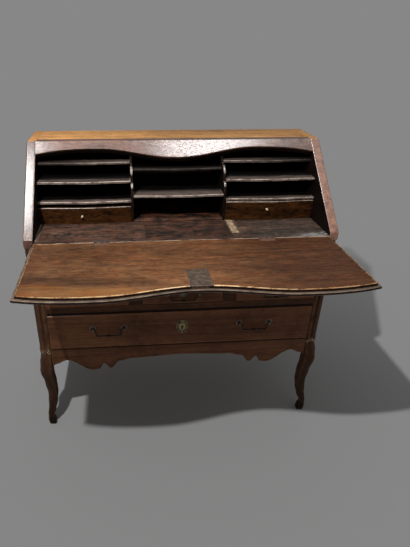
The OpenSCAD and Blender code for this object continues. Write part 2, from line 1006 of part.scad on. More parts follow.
module fall_escutcheon() {
    color(brass)
        translate([key_x, key_y, fall_z - 1.6])
            difference() {
                linear_extrude(1.6)
                    polygon(shield(34, 52, 48));
                translate([0, 0, -1])
                    linear_extrude(4)
                        keyhole(2.6);
            }
}

// Drawers of the front

// Two sides, a back and a bottom that slides into grooves in the sides
module drawer_boards(x0, x1, y0, y1, z0, z1, t) {
    difference() {
        union() {
            block(x0, x0 + t, y0, y1, z0, z1);
            block(x1 - t, x1, y0, y1, z0, z1);
        }
        block(x0 + t - 5, x1 - t + 5, y0 - 1, y1 + 1, z0 + 6, z0 + 14);
    }
    block(x0 + t + glue, x1 - t - glue, y1 - t, y1, z0 + 14 + glue, z1);
    block(x0 + t - 5 + glue, x1 - t + 5 - glue, y0 + glue, y1, z0 + 6 + glue, z0 + 14 - glue);
}

module handle_fixings(cx, cz, y) {
    for (x = [cx - handle_w / 2, cx + handle_w / 2])
        difference() {
            union() {
                rod_y(x, y - 2.5, y, cz, 11);
                rod_y(x, y - 11.5, y + front_t + 4, cz, 3);
                rod_y(x, y + front_t, y + front_t + 4, cz, 6.5);
                rod_x(x - 4, x + 4, y - 11.5, cz, 4.6);
            }
            rod_x(x - 10, x + 10, y - 11.5, cz, 1.6 + pin_gap);
        }
}

module shank_holes(cx, cz, y) {
    for (x = [cx - handle_w / 2, cx + handle_w / 2])
        rod_y(x, y - 1, y + front_t + 1, cz, 3 + pin_gap);
}

// Bail hanging from two pins, with its arms just inside the posts
module bail(cx, cz, y) {
    arm = handle_w / 2 - 8.2;
    bend = 6;
    color(brass)
        translate([cx, y - 11.5, cz]) {
            both() {
                rod_x(arm, handle_w / 2 + 7, 0, 0, 1.6);
                translate([handle_w / 2 + 8, 0, 0])
                    sphere(r = 2.6);
                rod_z(arm, 0, -bail_drop + bend, bail_r, bail_r);
                translate([arm - bend, 0, -bail_drop + bend])
                    rotate([90, 0, 0])
                        rotate([0, 0, -90])
                            rotate_extrude(angle = 90)
                                translate([bend, 0])
                                    circle(r = bail_r);
            }
            rod_x(-arm + bend, arm - bend, 0, -bail_drop, bail_r);
        }
}

long_half = post_in - drawer_gap;
long_box_y = long_front_y + front_t;

module drawer_lock_case() {
    block(-34, 34, 12, long_box_y + 1.5, long_top - 52, long_top);
}

module long_drawer_front() {
    color(walnut)
        difference() {
            block(-long_half, long_half, long_front_y, long_box_y, long_bottom, long_top);
            drawer_lock_case();
            rod_y(0, -1, 14, handle_z - 4, 4);
            shank_holes(-handle_x, handle_z, long_front_y);
            shank_holes(handle_x, handle_z, long_front_y);
        }
}

module long_drawer_box() {
    color(oak)
        drawer_boards(-post_in + 2.5, post_in - 2.5, long_box_y, runner_y1 - 2,
            long_bottom + 2, long_top - 8, drawer_side_t);
}

module long_drawer_handle_posts() {
    color(brass) {
        handle_fixings(-handle_x, handle_z, long_front_y);
        handle_fixings(handle_x, handle_z, long_front_y);
    }
}

module long_drawer_left_bail() {
    bail(-handle_x, handle_z, long_front_y);
}

module long_drawer_right_bail() {
    bail(handle_x, handle_z, long_front_y);
}

module long_drawer_escutcheon() {
    color(brass)
        translate([0, long_front_y, handle_z - 5])
            rotate([90, 0, 0])
                difference() {
                    linear_extrude(2)
                        polygon(shield(48, 78, 60));
                    translate([0, 0, -1])
                        linear_extrude(4)
                            keyhole(3);
                }
}

module drawer_bolt(z0, z1, grow) {
    block(-12 - grow, 12 + grow, 14 - grow, 19 + grow, z0, z1);
}

module long_drawer_lock() {
    color(iron)
        difference() {
            drawer_lock_case();
            drawer_bolt(long_top - 30, long_top + 1, 0.3);
        }
}

module long_drawer_bolt() {
    color(iron)
        drawer_bolt(long_top - 29.5, long_top - 0.5, 0);
}

small_z0 = mid_rail_top + 1.5;
small_z1 = small_top - 1.5;
small_side_x0 = small_half + upright_w;
small_side_cx = (small_side_x0 + post_in) / 2;

module small_front(x0, x1) {
    cx = (x0 + x1) / 2;
    color(walnut)
        difference() {
            block(x0 + drawer_gap, x1 - drawer_gap, front_set, front_back, small_z0, small_z1);
            shank_holes(cx, small_handle_z, front_set);
            rod_y(cx, front_set - 1, front_set + 13, small_handle_z + 2, 3);
        }
}

module small_box(x0, x1) {
    color(oak)
        drawer_boards(x0 + 2, x1 - 2, front_back, runner_y1 - 2, mid_rail_top + 0.3, small_z1 - 6,
            drawer_side_t - 3);
}

module small_hardware(cx) {
    color(brass) {
        handle_fixings(cx, small_handle_z, front_set);
        translate([cx, front_set, small_handle_z + 2])
            rotate([90, 0, 0])
                difference() {
                    linear_extrude(1.6)
                        polygon(shield(30, 44, 48));
                    translate([0, 0, -1])
                        linear_extrude(4)
                            keyhole(2.2);
                }
    }
}

module left_small_drawer_front() {
    small_front(-post_in, -small_side_x0);
}

module left_small_drawer_box() {
    small_box(-post_in, -small_side_x0);
}

module left_small_drawer_hardware() {
    small_hardware(-small_side_cx);
}

module left_small_drawer_bail() {
    bail(-small_side_cx, small_handle_z, front_set);
}

module centre_small_drawer_front() {
    small_front(-small_half, small_half);
}

module centre_small_drawer_box() {
    small_box(-small_half, small_half);
}

module centre_small_drawer_hardware() {
    small_hardware(0);
}

module centre_small_drawer_bail() {
    bail(0, small_handle_z, front_set);
}

module right_small_drawer_front() {
    small_front(small_side_x0, post_in);
}

module right_small_drawer_box() {
    small_box(small_side_x0, post_in);
}

module right_small_drawer_hardware() {
    small_hardware(small_side_cx);
}

module right_small_drawer_bail() {
    bail(small_side_cx, small_handle_z, front_set);
}

module joint_pegs() {
    color(walnut)
        both()
            right_pegs();
}

place() top_board();
place() left_gable();
place() right_gable();
place() left_side_panel();
place() right_side_panel();
place() left_front_leg();
place() right_front_leg();
place() left_rear_leg();
place() right_rear_leg();
place() back_boards();
place() slope_rail();
place() frieze_board();
place() small_drawer_rail();
place() middle_rail();
place() front_apron();
place() drawer_uprights();
place() dust_board();
place() drawer_runners();
place() loper_guides();
place() writing_floor();
place() well_box();
place() gallery_dividers();
place() left_shelves();
place() centre_shelves();
place() right_shelves();
place() hinge_frame_leaves();
place() hinge_pins();
place() joint_pegs();
place() fall_board();
place() hinge_fall_leaves();
place() fall_lock();
place() fall_escutcheon();
place() fall_lock_bolt();
place() left_loper();
place() right_loper();
place() well_cover();
place() long_drawer_front();
place() long_drawer_box();
place() long_drawer_handle_posts();
place() long_drawer_escutcheon();
place() long_drawer_lock();
place() long_drawer_bolt();
place() long_drawer_left_bail();
place() long_drawer_right_bail();
place() left_small_drawer_front();
place() left_small_drawer_box();
place() left_small_drawer_hardware();
place() left_small_drawer_bail();
place() centre_small_drawer_front();
place() centre_small_drawer_box();
place() centre_small_drawer_hardware();
place() centre_small_drawer_bail();
place() right_small_drawer_front();
place() right_small_drawer_box();
place() right_small_drawer_hardware();
place() right_small_drawer_bail();
place() left_inner_drawer();
place() left_inner_knob();
place() right_inner_drawer();
place() right_inner_knob();
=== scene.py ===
"""Finished looks of the walnut slant-front desk, built over its construction model."""

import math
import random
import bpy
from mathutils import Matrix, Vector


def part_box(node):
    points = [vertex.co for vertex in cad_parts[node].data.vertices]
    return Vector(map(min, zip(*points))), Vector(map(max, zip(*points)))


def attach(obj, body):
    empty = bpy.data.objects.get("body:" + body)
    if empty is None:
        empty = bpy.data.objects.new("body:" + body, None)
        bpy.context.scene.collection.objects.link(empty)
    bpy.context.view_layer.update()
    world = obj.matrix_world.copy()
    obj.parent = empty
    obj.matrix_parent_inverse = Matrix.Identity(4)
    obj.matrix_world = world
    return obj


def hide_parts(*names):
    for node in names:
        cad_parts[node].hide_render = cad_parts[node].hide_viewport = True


bl_info = {
    "name": "Slant-front desk",
    "version": (1, 0, 0),
    "blender": (4, 5, 0),
    "location": "3D View > Sidebar > Desk",
    "description": "Builds the wood, brass and finish of a walnut slant-front desk over its CAD model",
    "category": "Object",
}

import bmesh
import bpy
import numpy as np
from bpy.props import FloatProperty, FloatVectorProperty, PointerProperty
from mathutils import Matrix, Vector

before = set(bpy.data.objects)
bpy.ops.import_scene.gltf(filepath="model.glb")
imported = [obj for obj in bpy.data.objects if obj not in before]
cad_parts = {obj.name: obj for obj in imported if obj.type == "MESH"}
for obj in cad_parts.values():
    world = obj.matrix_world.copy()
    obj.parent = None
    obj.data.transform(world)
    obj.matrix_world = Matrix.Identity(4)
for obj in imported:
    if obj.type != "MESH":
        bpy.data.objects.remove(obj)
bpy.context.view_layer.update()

# A millimetre in metres, and the millimetres in a metre
MM = 0.001
PER_METRE = 1000.0

# Sizes in millimetres, with the front plane of the case at y = 0
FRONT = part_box("writing_floor")[0].y * PER_METRE
WIDTH = 1035.0
DEPTH = 488.0
HEIGHT = 1026.0
HALF = WIDTH / 2
GABLE = 31.0
TOP_T = 22.0
POST = 40.0
INNER = HALF - GABLE
POST_IN = HALF - POST
PANEL_IN = HALF - 20
TOP_IN = HEIGHT - TOP_T
WRITING = 770.0
FLOOR = 754.0
FALL_LOW = 752.5
LEG = 335.0
KNEE = LEG * 0.85
BACK_Y = 476.0

# The slant: its lower end, its upper arris, how far rail and gables stand out from it, and the top's mitre
RISE = HEIGHT - WRITING
ARRIS_Y = 298.0
PROUD = 8.0
MITRE = 12.0
SLOPE = math.acos(PROUD / math.hypot(RISE, ARRIS_Y)) - math.atan2(ARRIS_Y, RISE)
CA, SA, TA = math.cos(SLOPE), math.sin(SLOPE), math.tan(SLOPE)
SLOPE_LEN = RISE / SA
REACH_MID = SLOPE_LEN - 86.1
REACH_LOBE = SLOPE_LEN - 45
REACH_END = SLOPE_LEN - 67.2
LOBE_X = INNER - 206.5
HINGE_X = 270

# Rails, drawers and their hardware
FACE, FACE_BACK = 3, 25
APRON_TOP = 358.0
DRAWER_LOW, DRAWER_TOP = 360.0, 499.5
MIDDLE_RAIL = (502, 530)
SMALL_RAIL = (620, 650)
UPRIGHT = (143, 188)
BOLT_X, BOLT_Y = 12.3, (13.7, 19.3)
HANDLE_W = 111.0
HANDLE_X, HANDLE_Z = 265, 441
ESCUTCHEON_Z = 434
SMALL_HANDLE_Z = 573
SMALL_KEY_Z = 575
LOPER_X, LOPER_OUT = 450, 230.0
LOPER_SLOT = (LOPER_X - 11.8, LOPER_X + 11.8)
LOPER_LOW = FALL_LOW - 60.8

# Gallery and writing floor
DIVIDER_X = 163.0
GALLERY_Y = 178.0
SHELF_BACK = 38.0
WELL_X0, WELL_X1, WELL_Y0 = -125.0, 165.0, 24.0
COVER_L = GALLERY_Y + 4 - WELL_Y0


def place(x, y, z):
    """A point of the desk in metres, in the frame's own place."""
    return (x * MM, (y + FRONT) * MM, z * MM)


def on_slope(x, s, n):
    """A point across, up and out from the slant."""
    return (x, s * CA - n * SA, WRITING + s * SA + n * CA)


def reach(x):
    """How far the fall reaches up the slant."""
    x = abs(x)
    if x < LOBE_X:
        return REACH_MID + (REACH_LOBE - REACH_MID) * math.sin(math.pi / 2 * x / LOBE_X) ** 2
    return REACH_LOBE - (REACH_LOBE - REACH_END) * ((x - LOBE_X) / (INNER + 1.5 - LOBE_X)) ** 2.6


def along(knots, z):
    """Smooth value between knots."""
    for (z0, a), (z1, b) in zip(knots, knots[1:]):
        if z <= z1:
            t = min(1.0, max(0.0, (z - z0) / (z1 - z0)))
            return a + (b - a) * (1 - math.cos(math.pi * t)) / 2
    return knots[-1][1]


# How far a leg stands out from its post and reaches in, along its height
LEG_OUTER = [(0, 5), (LEG * 0.06, 6), (LEG * 0.134, 3.5), (LEG * 0.284, -2.5), (LEG * 0.433, -5.5),
             (LEG * 0.597, 0), (LEG * 0.782, 9), (LEG * 0.896, 5.5), (LEG, 0)]
LEG_INNER = [(0, 24.5), (LEG * 0.06, 22.5), (LEG * 0.134, 17), (LEG * 0.209, 28.5), (LEG * 0.313, 37),
             (LEG * 0.433, 42), (LEG * 0.567, 41.5), (LEG * 0.716, 38), (LEG * 0.851, 37.5), (LEG, POST)]
APRON_HALF = HALF - 46.5
APRON_KNOTS = [(0, 310), (180, 302), (230, 292), (265, 260), (289, 284), (308, 258.5), (330, 256),
               (POST_IN - 53, 306), (HALF - 56.5, 292), (APRON_HALF, 287)]


def apron_edge(x):
    """Height of the apron's lower edge."""
    return along(APRON_KNOTS, abs(x))


# Shapes

def offset(outline, d):
    """The outline, anticlockwise, moved inwards by d."""
    p = np.array(outline, float)
    before, after = p - np.roll(p, 1, 0), np.roll(p, -1, 0) - p
    before /= np.maximum(np.linalg.norm(before, axis=1), 1e-9)[:, None]
    after /= np.maximum(np.linalg.norm(after, axis=1), 1e-9)[:, None]
    n0 = np.stack([-before[:, 1], before[:, 0]], 1)
    n1 = np.stack([-after[:, 1], after[:, 0]], 1)
    k = np.maximum(1 + (n0 * n1).sum(1), 0.35)[:, None]
    return [tuple(q) for q in p + (n0 + n1) / k * d]


def anticlockwise(outline):
    """The outline, turned round if it runs clockwise."""
    area = sum(a[0] * b[1] - b[0] * a[1] for a, b in zip(outline, outline[1:] + outline[:1]))
    return list(outline) if area > 0 else list(reversed(outline))


def sharp_corners(outline):
    """Which points of the outline are corners rather than part of a curve."""
    n = len(outline)
    marks = []
    for i in range(n):
        p = Vector(outline[i])
        a, b = Vector(outline[i - 1]) - p, Vector(outline[(i + 1) % n]) - p
        marks.append(math.pi - a.angle(b, math.pi) > math.radians(28))
    return marks


def soften(outline, r, marks=None):
    """The outline with its corners eased."""
    marks = marks or sharp_corners(outline)
    out = []
    n = len(outline)
    for i in range(n):
        p = Vector(outline[i])
        if not marks[i]:
            out.append(tuple(p))
            continue
        a, b = Vector(outline[i - 1]) - p, Vector(outline[(i + 1) % n]) - p
        t = min(r * math.tan((math.pi - a.angle(b, math.pi)) / 2), 0.4 * a.length, 0.4 * b.length)
        first, last = p + a.normalized() * t, p + b.normalized() * t
        middle = (first + last) / 2
        out += [tuple(first), tuple(middle + (p - middle) * 0.42), tuple(last)]
    return out


def eased(r, steps=3):
    """Rows of a rounded arris, as distance in from the side and down from the face."""
    return [(r * (1 - math.sin(math.pi / 2 * k / steps)), r * (1 - math.cos(math.pi / 2 * k / steps)))
            for k in range(steps + 1)]


PLANES = {"xy": lambda u, v, h: (u, v, h), "xz": lambda u, v, h: (u, h, v), "yz": lambda u, v, h: (h, u, v)}


class Shape:
    """Closed parts of one piece, with the run of their grain and the wear of their arrises."""

    def __init__(self, seed=1):
        self.points, self.faces, self.grain, self.arris, self.tone, self.slots = [], [], [], [], [], []
        self.rule = None
        self.random = random.Random(seed)

    def add(self, points, faces, arris=None, axis="x", slot=0, seat=None, tone=None):
        """Adds one closed part. Its grain runs along the axis, from the part's own middle."""
        base = len(self.points)
        p = np.array(points, float)
        order = {"x": [0, 1, 2], "y": [1, 0, 2], "z": [2, 0, 1]}[axis]
        middle = (p.min(0) + p.max(0)) / 2
        draw = self.random.uniform
        shift = np.array([draw(0, 40), draw(-0.06, 0.06), draw(0.05, 0.14)])
        self.rule = (order, middle, shift, seat)
        self.grain += ((p - middle)[:, order] * MM + shift).tolist()
        self.tone += [self.random.random() if tone is None else tone] * len(points)
        self.arris += list(arris) if arris is not None else [0.0] * len(points)
        self.points += [seat(*q) for q in points] if seat else [tuple(q) for q in points]
        self.faces += [tuple(base + i for i in f) for f in faces]
        self.slots += [slot] * len(faces)

    def rows(self, rows, wear=None, **kw):
        """A solid lofted through closed rows of points, with flat ends."""
        n = len(rows[0])
        points = [q for row in rows for q in row]
        faces = [tuple(reversed(range(n)))]
        for k in range(len(rows) - 1):
            for i in range(n):
                j = (i + 1) % n
                faces.append((k * n + i, k * n + j, (k + 1) * n + j, (k + 1) * n + i))
        faces.append(tuple((len(rows) - 1) * n + i for i in range(n)))
        arris = None
        if wear is not None:
            arris = [w if isinstance(w, (int, float)) else w[i] for w in wear for i in range(n)]
        self.add(points, faces, arris, **kw)

    def plate(self, outline, a0, a1, plane="xy", low=None, high=None, corner=1.0, fade=2.5, **kw):
        """A board sawn to an outline. low and high are the rows of its two arrises."""
        low = low or eased(1.0, 2)
        high = high or eased(1.0, 2)
        outline = anticlockwise(outline)
        marks = sharp_corners(outline)
        wide = a1 - a0 - low[-1][1] - high[-1][1]
        step = min(fade, wide * 0.3)
        rows = [(low[0][0] + fade, a0, 0.0)]

        def worn(k, arris):
            return 1 - abs(2 * k / (len(arris) - 1) - 1) * 0.6
        rows += [(i, a0 + d, worn(k, low)) for k, (i, d) in enumerate(low)]
        rows += [(low[-1][0], a0 + low[-1][1] + step, 0.0), (high[-1][0], a1 - high[-1][1] - step, 0.0)]
        rows += [(i, a1 - d, worn(k, high)) for k, (i, d) in reversed(list(enumerate(high)))]
        rows.append((high[0][0] + fade, a1, 0.0))
        turn = PLANES[plane]
        self.rows([[turn(u, v, h) for u, v in soften(offset(outline, i), corner, marks)] for i, h, w in rows],
                  [w for i, h, w in rows], **kw)

    def board(self, x0, x1, y0, y1, z0, z1, r=0.8, **kw):
        """A planed board with eased arrises; its grain runs along its length."""
        size = {"x": x1 - x0, "y": y1 - y0, "z": z1 - z0}
        thin = min(size, key=size.get)
        kw.setdefault("axis", max(size, key=size.get))
        r = min(r, size[thin] * 0.3)
        spans = {"x": (x0, x1), "y": (y0, y1), "z": (z0, z1)}
        plane = {"x": "yz", "y": "xz", "z": "xy"}[thin]
        (u0, u1), (v0, v1) = [spans[c] for c in plane]
        self.plate([(u0, v0), (u1, v0), (u1, v1), (u0, v1)], *spans[thin], plane=plane,
                   low=eased(r, 2), high=eased(r, 2), corner=r, fade=min(2.5, size[thin] * 0.3), **kw)

    def turned(self, profile, centre, axis="y", sign=1, sides=24, wear=None, **kw):
        """A turned solid; profile gives (radius, distance along the axis) from end to end."""
        u, v, w = {"x": ((0, 1, 0), (0, 0, 1), (1, 0, 0)), "y": ((0, 0, 1), (1, 0, 0), (0, 1, 0)),
                   "z": ((1, 0, 0), (0, 1, 0), (0, 0, 1))}[axis]
        turns = [2 * math.pi * k / sides for k in range(sides)]
        rows = []
        for r, h in profile:
            r = max(r, 0.02)
            rows.append([tuple(centre[c] + r * math.cos(t) * u[c] + r * math.sin(t) * v[c] + sign * h * w[c]
                               for c in range(3)) for t in turns])
        kw.setdefault("axis", axis)
        self.rows(rows, wear or [0.0] * len(rows), **kw)

    def swept(self, path, radius, across, sides=12, wear=None, **kw):
        """A rod along a flat path; across is the normal of the path's plane."""
        b = Vector(across)
        turns = [2 * math.pi * k / sides for k in range(sides)]
        rows = []
        n = len(path)
        for i, p in enumerate(path):
            t = (Vector(path[min(i + 1, n - 1)]) - Vector(path[max(i - 1, 0)])).normalized()
            side = t.cross(b)
            r = radius(i / (n - 1)) if callable(radius) else radius
            rows.append([tuple(Vector(p) + (side * math.cos(a) + b * math.sin(a)) * r) for a in turns])
        self.rows(rows, wear or [0.0] * n, **kw)

    def dress(self, name, finishes, slot, body="desk_case", **kw):
        """The finished object that stands for the construction node of that name."""
        return self.piece(name + "_finish", body, finishes, [name], slot, **kw)

    def piece(self, name, body, finishes, stands_for=(), slot=None, sharp=38, cuts=(), zones=None):
        """The finished object, riding on its body. zones picks a finish by a face's place and normal."""
        mesh = bpy.data.meshes.new(name)
        mesh.from_pydata([place(*p) for p in self.points], [], self.faces)
        keep_marks(mesh, self.grain, self.arris, self.tone)
        mesh.polygons.foreach_set("material_index", self.slots)
        for finish in finishes:
            mesh.materials.append(FINISH[finish])
        tidy(mesh)
        if cuts:
            mesh = self.cut(mesh, cuts)
        for p in mesh.polygons if zones else ():
            x, y, z = [c * PER_METRE for c in p.center]
            chosen = zones((x, y - FRONT, z), p.normal)
            if chosen is not None:
                p.material_index = chosen
        mesh.polygons.foreach_set("use_smooth", [True] * len(mesh.polygons))
        mesh.set_sharp_from_angle(angle=math.radians(sharp))
        mesh.update()
        return seat_piece(mesh, name, body, stands_for)

    def cut(self, mesh, cuts):
        """Sinks holes and housings into the last part added, and carries its grain into them."""
        block = bpy.data.objects.new("blank", mesh)
        bpy.context.collection.objects.link(block)
        tools = []
        for cutter in cuts:
            m = bpy.data.meshes.new("tool")
            m.from_pydata([place(*p) for p in cutter.points], [], cutter.faces)
            tidy(m)
            tool = bpy.data.objects.new("tool", m)
            bpy.context.collection.objects.link(tool)
            tools.append(tool)
            mod = block.modifiers.new("sink", "BOOLEAN")
            mod.operation, mod.solver, mod.object = "DIFFERENCE", "EXACT", tool
        bpy.context.view_layer.update()
        shown = block.evaluated_get(bpy.context.evaluated_depsgraph_get())
        out = bpy.data.meshes.new_from_object(shown)
        for o in [block, *tools]:
            bpy.data.objects.remove(o)
        order, middle, shift, seat = self.rule
        if "grain" in out.attributes and seat is None:
            p = np.zeros(len(out.vertices) * 3)
            out.vertices.foreach_get("co", p)
            p = p.reshape(-1, 3) * PER_METRE - np.array([0, FRONT, 0]) - middle
            marks = (p[:, order] * MM + shift).astype(np.float32)
            out.attributes["grain"].data.foreach_set("vector", marks.ravel())
        return out


def keep_marks(mesh, grain, arris, tone):
    """Keeps grain, wear and tone with the mesh's points, where the finishes read them."""
    for key, kind, field, values in (("grain", "FLOAT_VECTOR", "vector", grain),
                                     ("arris", "FLOAT", "value", arris), ("tone", "FLOAT", "value", tone)):
        mesh.attributes.new(key, kind, "POINT").data.foreach_set(field, np.array(values, np.float32).ravel())


def tidy(mesh):
    """Welds doubles and turns every closed part's faces outwards."""
    bm = bmesh.new()
    bm.from_mesh(mesh)
    bmesh.ops.remove_doubles(bm, verts=bm.verts, dist=1e-6)
    bmesh.ops.recalc_face_normals(bm, faces=bm.faces)
    bm.to_mesh(mesh)
    bm.free()


def seat_piece(mesh, name, body, stands_for=()):
    """Links a finished mesh and hands it to its body."""
    obj = bpy.data.objects.new(name, mesh)
    bpy.context.collection.objects.link(obj)
    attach(obj, body)
    if stands_for:
        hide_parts(*stands_for)
    return obj


def mirrored(shape):
    """The same parts on the other side of the desk."""
    other = Shape()
    other.points = [(-x, y, z) for x, y, z in shape.points]
    other.faces, other.slots, other.arris = shape.faces, shape.slots, shape.arris
    other.grain = [[g[0] + 11.3, g[1], g[2] + 0.02] for g in shape.grain]
    other.tone = [(t + 0.37) % 1 for t in shape.tone]
    return other


def both_hands(make):
    """A shape for the left and one for the right."""
    right = make()
    return (("left", mirrored(right)), ("right", right))


# Finishes

def hue(r, g, b):
    """A colour given as it shows on a screen, 0 to 255."""
    return tuple(((c / 255 + 0.055) / 1.055) ** 2.4 if c > 10 else c / 255 / 12.92
                 for c in (r, g, b)) + (1.0,)


NODE_STEP = (190, -260)
NODES_ACROSS = 12


class Net:
    """Short ways to set nodes in a tree."""

    def __init__(self, tree):
        self.tree = tree
        self.count = 0

    def node(self, kind, inputs=None, **settings):
        n = self.tree.nodes.new(kind)
        n.location = (NODE_STEP[0] * (self.count % NODES_ACROSS), NODE_STEP[1] * (self.count // NODES_ACROSS))
        self.count += 1
        for key, value in settings.items():
            setattr(n, key, value)
        for key, value in (inputs or {}).items():
            self.feed(n.inputs[key], value)
        return n

    def feed(self, socket, value):
        if isinstance(value, bpy.types.NodeSocket):
            self.tree.links.new(value, socket)
        else:
            socket.default_value = value

    def math(self, operation, a, b=0.0, clamp=False):
        return self.node("ShaderNodeMath", {0: a, 1: b}, operation=operation, use_clamp=clamp).outputs[0]

    def add(self, *values):
        total = values[0]
        for v in values[1:]:
            total = self.math("ADD", total, v)
        return total

    def times(self, *values):
        product = values[0]
        for v in values[1:]:
            product = self.math("MULTIPLY", product, v)
        return product

    def less(self, a, b):
        return self.math("SUBTRACT", a, b)

    def rest(self, value):
        return self.math("SUBTRACT", 1.0, value)

    def vector(self, operation, a, b):
        return self.node("ShaderNodeVectorMath", {0: a, 1: b}, operation=operation).outputs[0]

    def mix(self, factor, a, b, blend="MIX"):
        return self.node("ShaderNodeMix", {0: factor, 6: a, 7: b}, data_type="RGBA",
                         blend_type=blend).outputs[2]

    def span(self, value, a, b, c=0.0, d=1.0):
        """From c at a to d at b, smoothly, and level outside."""
        return self.node("ShaderNodeMapRange", {0: value, 1: a, 2: b, 3: c, 4: d},
                         interpolation_type="SMOOTHSTEP").outputs[0]

    def band(self, value, a, b, soft):
        """1 between a and b, fading over soft."""
        return self.times(self.span(value, a - soft, a + soft),
                          self.span(value, b - soft, b + soft, 1.0, 0.0))

    def noise(self, vector, scale, detail=3.0, rough=0.55):
        if isinstance(scale, tuple):
            vector, scale = self.vector("MULTIPLY", vector, scale), 1.0
        return self.node("ShaderNodeTexNoise", {"Vector": vector, "Scale": scale, "Detail": detail,
                                                "Roughness": rough}).outputs[0]

    def grey(self, value):
        return self.node("ShaderNodeCombineColor", {0: value, 1: value, 2: value}).outputs[0]

    def shade(self, colour, factor):
        """The colour made darker by a factor that varies from place to place."""
        return self.mix(1.0, colour, self.grey(factor), "MULTIPLY")

    def object_place(self):
        return self.node("ShaderNodeTexCoord").outputs["Object"]

    def show(self, shader, sink="ShaderNodeOutputMaterial"):
        out = self.node(sink)
        self.tree.links.new(shader.outputs[0], out.inputs[0])


SOCKETS = {"v": "NodeSocketVector", "f": "NodeSocketFloat", "c": "NodeSocketColor"}


def effect(name, inputs, outputs):
    """A shader group with named sockets: (group, net, its input sockets, a way to set its outputs)."""
    tree = bpy.data.node_groups.new(name, "ShaderNodeTree")
    for key, kind, value in inputs:
        s = tree.interface.new_socket(key, in_out="INPUT", socket_type=SOCKETS[kind])
        if kind != "v":
            s.default_value = value
    for key, kind in outputs:
        tree.interface.new_socket(key, in_out="OUTPUT", socket_type=SOCKETS[kind])
    net = Net(tree)
    source = net.node("NodeGroupInput")
    sink = net.node("NodeGroupOutput")
    return tree, net, source.outputs, sink.inputs


PORE_BLACK = (0.004, 0.002, 0.001, 1.0)


def wood_figure():
    """Growth rings, streaks, pores, patina and worn arrises of an old board."""
    tree, n, i, o = effect("Old board", [
        ("Grain", "v", None), ("Arris", "f", 0.0), ("Tone", "f", 0.5),
        ("Light", "c", hue(140, 96, 62)), ("Dark", "c", hue(70, 42, 27)), ("Worn", "c", hue(170, 130, 92)),
        ("Figure", "f", 1.0), ("Pores", "f", 0.6), ("Wear", "f", 0.5), ("Dull", "f", 0.4),
        ("Mottle", "f", 0.1)],
        [("Color", "c"), ("Roughness", "f"), ("Height", "f")])
    g = i["Grain"]
    warp = n.times(n.less(n.noise(g, (1.7, 9.0, 9.0), 2.0), 0.5), 0.055)
    xyz = n.node("ShaderNodeSeparateXYZ", {0: g})
    across = n.add(xyz.outputs[1], warp)
    deep = n.add(xyz.outputs[2], n.times(warp, 0.7))
    ring = n.math("SQRT", n.add(n.times(across, across), n.times(deep, deep)))
    ring = n.span(n.math("SINE", n.times(ring, 820.0)), -0.2, 1.0)
    streak = n.noise(g, (2.2, 75.0, 75.0), 4.0, 0.6)
    broad = n.noise(g, (1.1, 10.0, 10.0), 3.0)
    fine = n.noise(g, (22.0, 620.0, 620.0), 2.0, 0.6)
    figure = n.add(n.times(n.span(streak, 0.28, 0.72), 0.42), n.times(n.span(broad, 0.3, 0.7), 0.36),
                   n.times(ring, -0.16), n.times(n.less(fine, 0.5), 0.5), 0.06)
    figure = n.times(n.less(figure, 0.4), i["Figure"])
    figure = n.math("ADD", figure, 0.45, True)
    colour = n.mix(figure, i["Dark"], i["Light"])
    cloud = n.span(n.noise(g, (14.0, 44.0, 44.0), 5.0, 0.75), 0.32, 0.68, -1.0, 1.0)
    grit = n.span(n.noise(g, (42.0, 130.0, 130.0), 3.0, 0.75), 0.36, 0.64, -1.0, 1.0)
    uneven = n.times(n.add(n.times(cloud, 0.55), n.times(grit, 0.5)), i["Mottle"])
    patina = n.times(n.span(i["Tone"], 0.0, 1.0, 0.86, 1.12), n.add(uneven, 1.0))
    stain = n.span(n.noise(g, (4.0, 7.0, 7.0), 4.0, 0.65), 0.3, 0.62, 0.74, 1.05)
    colour = n.shade(colour, n.times(patina, stain))
    pore = n.span(n.noise(g, (55.0, 1500.0, 1500.0), 1.0), 0.6, 0.72)
    colour = n.mix(n.times(pore, i["Pores"], 0.7), colour, n.mix(0.6, colour, PORE_BLACK))
    rub = n.span(n.noise(g, (30.0, 55.0, 55.0), 4.0, 0.7), 0.36, 0.62)
    rub = n.math("MULTIPLY", n.times(i["Arris"], rub), i["Wear"], True)
    n.feed(o["Color"], n.mix(rub, colour, i["Worn"]))
    dull = n.add(i["Dull"], n.times(n.less(broad, 0.5), 0.22), n.times(n.less(fine, 0.5), 0.2),
                 n.times(pore, 0.12), n.times(rub, 0.1))
    n.feed(o["Roughness"], n.math("MAXIMUM", dull, 0.12))
    n.feed(o["Height"],
           n.add(n.times(pore, -0.6), n.times(fine, 0.5), n.times(ring, 0.15), n.times(streak, 0.3)))
    return tree


def old_metal():
    """Tarnish in patches, bright where hands rub, with a fine tooth."""
    tree, n, i, o = effect("Old metal", [
        ("Place", "v", None), ("Arris", "f", 0.0), ("Bright", "c", hue(190, 160, 95)),
        ("Tarnish", "c", hue(70, 58, 36)), ("Wear", "f", 0.5), ("Dull", "f", 0.4)],
        [("Color", "c"), ("Roughness", "f"), ("Height", "f")])
    patch = n.noise(i["Place"], 90.0, 4.0, 0.65)
    tooth = n.noise(i["Place"], 900.0, 3.0, 0.6)
    clean = n.math("ADD", n.times(n.span(patch, 0.42, 0.66), 0.55),
                   n.times(i["Arris"], n.times(i["Wear"], 0.8)), True)
    clean = n.times(clean, n.span(tooth, 0.25, 0.6, 0.6, 1.0))
    n.feed(o["Color"], n.mix(clean, i["Tarnish"], i["Bright"]))
    n.feed(o["Roughness"], n.add(i["Dull"], n.times(n.less(0.5, clean), 0.25)))
    n.feed(o["Height"], n.add(n.times(tooth, 0.5), n.times(patch, 0.4)))
    return tree


def new_finish(name):
    m = bpy.data.materials.new(name)
    m.use_nodes = True
    m.node_tree.nodes.clear()
    return m, Net(m.node_tree)


